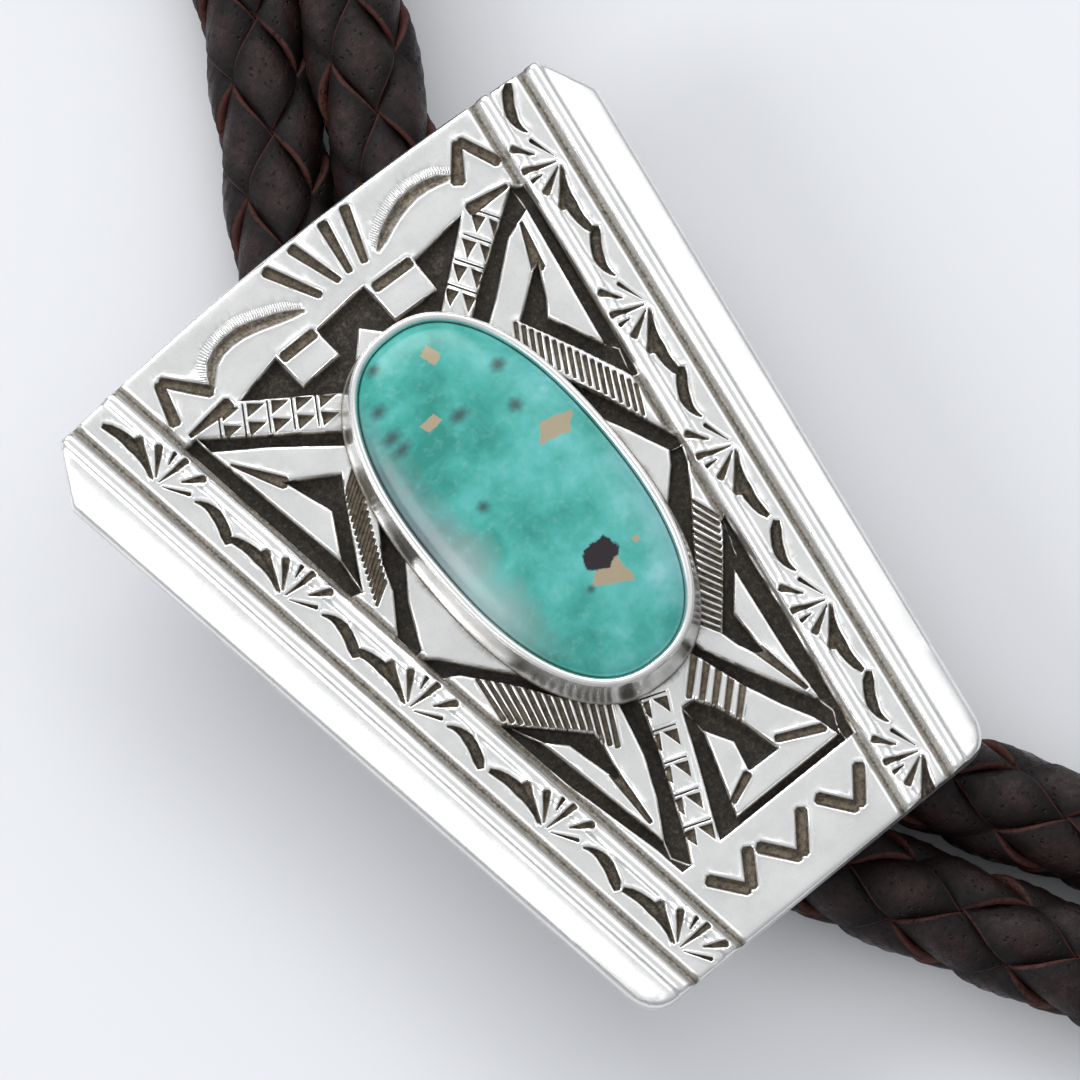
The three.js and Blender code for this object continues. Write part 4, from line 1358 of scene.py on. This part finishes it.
def silver_look(nodes, inputs):
    place = nodes.millimetres()
    cloud = nodes.noise(place, 0.35, 4, 0.6)
    fine = nodes.noise(place, 6, 5, 0.65)
    scratch = nodes.noise(nodes.millimetres((0.6, 9, 1), 0.6), 2.2, 6, 0.7)
    spots = nodes.noise(place, 2.6, 5, 0.7)
    bright = nodes.mix(nodes.range(cloud, 0.35, 0.65), dull_silver, bright_silver)
    stain = nodes.ramp(spots, brown_stain)
    oxide = nodes.ramp(spots, black_oxide)
    wander = nodes.sum("MULTIPLY", nodes.sum("SUBTRACT", fine, 0.5), 0.5)
    dark = nodes.sum("ADD", inputs[0], nodes.sum("MULTIPLY", wander, nodes.range(inputs[0], 0, 0.3)))
    deep = nodes.range(dark, 0.74, 0.98)
    dark = nodes.range(dark, 0.1, 0.6)
    rough = nodes.range(fine, 0.3, 0.7, 0.26, 0.34)
    return {
        "Colour": nodes.mix(deep, nodes.mix(dark, bright, stain), oxide),
        "Roughness": nodes.sum("ADD", rough, nodes.sum("MULTIPLY", dark, 0.28)),
        "Metallic": nodes.range(dark, 0, 1, 1.0, 0.45),
        "Height": nodes.sum("ADD", nodes.sum("MULTIPLY", scratch, 0.25), nodes.sum(
            "MULTIPLY", fine, nodes.range(dark, 0, 1, 0.05, 1.6))),
    }


silver = material("silver", group("silver_look", silver_look, ["Dark"]), ("dark",), 0.25, 0.00004)
for piece in (slide, bezel):
    piece.data.materials.append(silver)
print("silver on the slide and the bezel")

# %% [markdown]
# ## Plain metals
# The tips are polished silver with few marks, and the clip is brushed nickel-coloured metal. The
# slide's silver would need a painted number on them. Two plain groups with a cloud and a fine or
# stretched noise are enough for parts that hardly show.


# %% Tips and clip
tip_shades = (0.8, 0.8, 0.8, 1), (0.95, 0.95, 0.94, 1)
clip_shades = (0.5, 0.5, 0.5, 1), (0.72, 0.71, 0.69, 1)


def tip_look(nodes, inputs):
    place = nodes.millimetres()
    fine = nodes.noise(place, 4, 5, 0.65)
    cloud = nodes.noise(place, 0.3, 3)
    return {
        "Colour": nodes.mix(cloud, *tip_shades),
        "Roughness": nodes.range(fine, 0.3, 0.7, 0.14, 0.32),
        "Metallic": nodes.range(cloud, 0, 1, 0.95, 1.0),
        "Height": fine,
    }


def clip_look(nodes, inputs):
    brushed = nodes.noise(nodes.millimetres((8, 0.3, 8)), 1.5, 5, 0.7)
    cloud = nodes.noise(nodes.millimetres(), 0.4, 4)
    return {
        "Colour": nodes.mix(cloud, *clip_shades),
        "Roughness": nodes.range(brushed, 0.3, 0.7, 0.28, 0.5),
        "Metallic": nodes.range(cloud, 0, 1, 0.9, 1.0),
        "Height": brushed,
    }


tip_silver = material("tip_silver", group("tip_look", tip_look), (), 0.15, 0.00003)
for piece in tips.values():
    piece.data.materials.append(tip_silver)
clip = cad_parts["cord_clip"]
clip_metal = material("clip_metal", group("clip_look", clip_look), (), 0.2, 0.00003)
clip.data.materials.clear()
clip.data.materials.append(clip_metal)
print("silver on the tips, brushed metal on the clip")

# %% [markdown]
# ## Leather
# The cord's strands are dyed a very dark brown, and the cut edges show the raw red-brown leather.
# Their colour is lighter on the crests, a painted sheen, and darker toward the seams and where they
# dive, a painted shade. They are also a little shinier where they rise. A picture of leather would
# need unwrapped strands. Here the painted edge and crest give those places, noise gives the grain
# and the wrinkles, and a Voronoi pattern gives the pores.


# %% Leather
# The darkest brown is the end of the painted shade, and the lighter one is a painted sheen
deep_brown, sheen_brown = (0.003, 0.0013, 0.0013, 1), (0.05, 0.027, 0.025, 1)
pore_brown, raw_edge = (0.004, 0.003, 0.003, 1), (0.085, 0.03, 0.023, 1)


def leather_look(nodes, inputs):
    place = nodes.millimetres()
    tone = nodes.noise(place, 0.5, 5, 0.65)
    wrinkle = nodes.noise(place, 1.7, 7, 0.72, 0.6)
    grain = nodes.noise(place, 6, 5, 0.7)
    pores = nodes.add("TexVoronoi", {"feature": "F1"}, Vector=place, Scale=1.9).outputs[0]
    pits = nodes.range(pores, 0.08, 0.24)
    # Painted sheen on the crests, faded by painted shade toward the seams, varied by tone and
    # wrinkles
    painted_sheen = nodes.sum("MULTIPLY", inputs[1], nodes.range(inputs[0], 0.2, 0.85, 1, 0.1))
    painted_sheen = nodes.sum("MULTIPLY", painted_sheen, nodes.range(tone, 0.3, 0.65, 0.25, 1))
    painted_sheen = nodes.sum("MULTIPLY", painted_sheen, nodes.range(wrinkle, 0.36, 0.6, 0.4, 1))
    colour = nodes.mix(painted_sheen, deep_brown, sheen_brown)
    colour = nodes.mix(nodes.range(pits, 0, 1, 0.75, 0), colour, pore_brown)
    raw = nodes.sum("MULTIPLY", nodes.range(inputs[0], 0.91, 0.975), nodes.range(wrinkle, 0.32, 0.48))
    return {
        "Colour": nodes.mix(raw, colour, raw_edge),
        "Roughness": nodes.sum("ADD", nodes.range(wrinkle, 0.35, 0.65, 0.36, 0.2),
                               nodes.range(painted_sheen, 0, 0.5, 0.3, 0)),
        "Height": nodes.sum("ADD", nodes.sum("ADD", nodes.sum("MULTIPLY", wrinkle, 0.6),
                                             nodes.sum("MULTIPLY", grain, 0.25)),
                            nodes.sum("MULTIPLY", pits, 0.5)),
    }


leather = material(
    "leather",
    group("leather_look", leather_look, ["Edge", "Crest"], ("Colour", "Roughness", "Height")),
    ("edge", "crest"), 0.9, 0.00015, Specular_IOR_Level=0.24)
for piece in [neck_braid] + [tail[0] for tail in tails.values()]:
    piece.data.materials.append(leather)
print("leather on", 1 + len(tails), "cords")

# %% [markdown]
# ## Turquoise
# The stone is a cloudy blue-green, paler to the lower right, with tan and black matrix where host
# rock runs through. The matrix could be pure noise, but these few spots have places of their own.
# So each row is one patch with its middle, half sizes, turn, number of sides and kind, and noise
# frays its edge.

# %% Patches of matrix
# Middle, half sizes, turn, sides of the shard, kind
stone_patches = [
    (1.25, 10.0, 0.43, 0.61, 20, 4, "tan"), (-1.35, 6.7, 0.61, 0.36, 10, 4, "tan"),
    (4.2, 1.9, 1.15, 0.61, -25, 4, "tan"), (1.25, -6.9, 0.85, 0.85, 0, 3, "tan"),
    (3.6, -6.3, 0.22, 0.2, 0, 4, "tan"), (1.35, -5.75, 1.15, 0.85, 15, 5, "black"),
    (-1.9, 11.5, 0.5, 0.4, 0, 6, "dark"), (-3.3, 9.3, 0.6, 0.5, 0, 6, "dark"),
    (-3.7, 7.5, 0.7, 0.5, 0, 6, "dark"), (-3.7, 6.6, 0.8, 0.5, 0, 6, "dark"),
    (0.15, 6.0, 0.8, 0.5, 0, 6, "dark"), (4.0, 7.0, 0.6, 0.5, 0, 6, "dark"),
    (3.2, 4.4, 0.5, 0.5, 0, 6, "dark"), (-2.2, 0.8, 0.45, 0.4, 0, 6, "dark"),
    (-0.4, -7, 0.3, 0.3, 0, 6, "dark"),
]
patch_kinds = {
    "tan": (0.4, 0.33, 0.22, 1), "black": (0.02, 0.015, 0.02, 1), "dark": (0.05, 0.12, 0.12, 1)}
# Where a patch's edge starts and where it is full, in shares of its size
crisp_edge, soft_edge = (1.0, 0.88), (1.15, 0.2)
fray_scale, fray_reach = 1.3, 0.8
print(len(stone_patches), "patches")


# %% Clouds and hazes
# From the greenest to the palest blue
stone_colours = [
    (0.25, (0.03, 0.27, 0.225)), (0.45, (0.065, 0.41, 0.36)), (0.62, (0.12, 0.5, 0.48)),
    (0.8, (0.3, 0.64, 0.67)),
]
blue_haze, grey_haze = (0.36, 0.62, 0.68, 1), (0.5, 0.6, 0.62, 1)
green_fleck, shaded_edge = (0.3, 0.64, 0.58, 1), (0.2, 0.2, 0.24, 1)


def stone_clouds(nodes, place, split):
    """The stone's colour before its patches, and its fine mottling."""
    cloud = nodes.noise(place, 0.3, 4, 0.6, 0.2)
    mottle = nodes.noise(place, 1.4, 5, 0.62)
    down_right = nodes.sum(
        "SUBTRACT", split.outputs[0], nodes.sum("MULTIPLY", split.outputs[1], 0.28))
    pale = nodes.sum("ADD", nodes.range(down_right, -4.5, 7, 0.36, 0.62),
                     nodes.sum("MULTIPLY", nodes.sum("SUBTRACT", cloud, 0.5), 1.0))
    colour = nodes.ramp(pale, stone_colours)
    haze = nodes.sum("ADD", down_right, nodes.sum("MULTIPLY", nodes.sum("SUBTRACT", cloud, 0.5), 5.0))
    colour = nodes.mix(nodes.range(haze, 4.2, 7.8, 0, 0.7), colour, blue_haze)
    left_haze = nodes.sum("MULTIPLY", nodes.range(split.outputs[1], 7.0, 3.0),
                          nodes.range(split.outputs[1], -6.0, -1.0))
    left_haze = nodes.sum("MULTIPLY", left_haze, nodes.range(nodes.sum(
        "ADD", split.outputs[0], nodes.sum("MULTIPLY", cloud, 3.0)), -1.2, -4.2, 0, 0.7))
    colour = nodes.mix(left_haze, colour, grey_haze)
    colour = nodes.mix(nodes.range(mottle, 0.52, 0.8, 0, 0.3), colour, green_fleck)
    left_edge = nodes.sum("ADD", split.outputs[0], nodes.sum("MULTIPLY", mottle, 2.5))
    left_edge = nodes.sum("MULTIPLY", nodes.range(left_edge, -2.0, -4.5),
                          nodes.range(split.outputs[1], 1.0, 5.0))
    colour = nodes.mix(nodes.sum("MULTIPLY", left_edge, 0.75), colour, shaded_edge)
    return colour, mottle


print("the stone's clouds have", len(stone_colours), "colours")


# %% Patches and the stone's material
def patch_reach(nodes, split, x, y, half_x, half_y, turn, sides):
    """How far a point is from a patch's middle, in shares of its size."""
    away_x = nodes.sum("SUBTRACT", split.outputs[0], stone_middle[0] + x)
    away_y = nodes.sum("SUBTRACT", split.outputs[1], stone_middle[1] + y)
    reach = None
    for corner in range(sides):
        angle = math.radians(turn + 360 * corner / sides)
        facing = nodes.sum("ADD", nodes.sum("MULTIPLY", away_x, math.cos(angle) / half_x),
                           nodes.sum("MULTIPLY", away_y, math.sin(angle) / half_y))
        reach = facing if reach is None else nodes.sum("MAXIMUM", reach, facing)
    return reach


def stone_look(nodes, inputs):
    place = nodes.millimetres()
    split = nodes.add("SeparateXYZ", Vector=place)
    colour, mottle = stone_clouds(nodes, place, split)
    fray = nodes.sum("SUBTRACT", nodes.noise(place, fray_scale, 5, 0.7), 0.5)
    fray = nodes.sum("MULTIPLY", fray, fray_reach)
    for *shape, kind in stone_patches:
        reach = nodes.sum("ADD", patch_reach(nodes, split, *shape), fray)
        edge = soft_edge if kind == "dark" else crisp_edge
        colour = nodes.mix(nodes.range(reach, *edge), colour, patch_kinds[kind])
    return {
        "Colour": colour,
        "Roughness": nodes.range(mottle, 0.3, 0.7, 0.16, 0.28),
        "Height": mottle,
    }


turquoise = material(
    "turquoise", group("stone_look", stone_look, outputs=("Colour", "Roughness", "Height")),
    (), 0.04, 0.00003, Specular_IOR_Level=0.4)
stone.data.materials.append(turquoise)
print("turquoise has", len(turquoise.node_tree.nodes), "nodes and its group",
      len(bpy.data.node_groups["stone_look"].nodes))

# %% [markdown]
# ## Table
# The tie lies on a pale glossy table, which mirrors it faintly. A plane far wider than the view
# is enough, because its edges never show. It belongs to the stage and not to the part.

# %% Table
table_size = 12
table_shades = (0.80, 0.81, 0.84, 1), (0.84, 0.85, 0.88, 1)
bpy.ops.mesh.primitive_plane_add(size=table_size, location=(0, 0, 0))
table = bpy.context.object
table.name = "table"


def table_look(nodes, inputs):
    cloud = nodes.noise(nodes.millimetres(), 0.002, 2)
    return {
        "Colour": nodes.mix(cloud, *table_shades),
        "Roughness": nodes.range(cloud, 0, 1, 0.22, 0.28),
        "Height": cloud,
    }


table.data.materials.append(material(
    "table", group("table_look", table_look, outputs=("Colour", "Roughness", "Height"))))
print("table", table_size, "m wide")

# %% [markdown]
# ## Lights
# Silver shows little but what it mirrors, so the light is made for its reflections. One hard lamp
# would leave it black with a few glints. Three wide soft lights stand to the left, to the right
# and behind, and the room itself is brightest overhead and darker toward the horizon.


# %% Soft lights
def soft_light(name, place, size, power):
    """A rectangle of light that faces the slide."""
    data = bpy.data.lights.new(name, "AREA")
    data.shape = "RECTANGLE"
    data.size, data.size_y = size
    data.energy = power
    light = bpy.data.objects.new(name, data)
    bpy.context.collection.objects.link(light)
    light.location = place
    light.rotation_euler = (-Vector(place)).to_track_quat("-Z", "Y").to_euler()
    print(name, "light of", power, "W")


soft_light("left", (-1.05, 0.35, 0.8), (0.55, 0.75), 6)
soft_light("right", (0.95, 0.2, 0.8), (0.9, 1.1), 2.7)
soft_light("behind", (0.35, 1.0, 0.85), (1.2, 0.6), 10)

# %% The room
world = bpy.data.worlds.new("studio")
bpy.context.scene.world = world
world.use_nodes = True
sky = Nodes(world.node_tree)
upward = sky.add("SeparateXYZ", Vector=sky.add("TexCoord").outputs["Generated"]).outputs[2]
glow = sky.ramp(upward, [(0.0, (0.2, 0.205, 0.215)), (0.45, (0.4, 0.41, 0.43)),
                         (0.9, (0.6, 0.61, 0.62)), (1.0, (0.7, 0.71, 0.72))])
sky.feed(world.node_tree.nodes["Background"], "Color", glow)
bpy.context.scene.view_settings.view_transform = "Standard"
print("the room's light has", len(world.node_tree.nodes), "nodes")
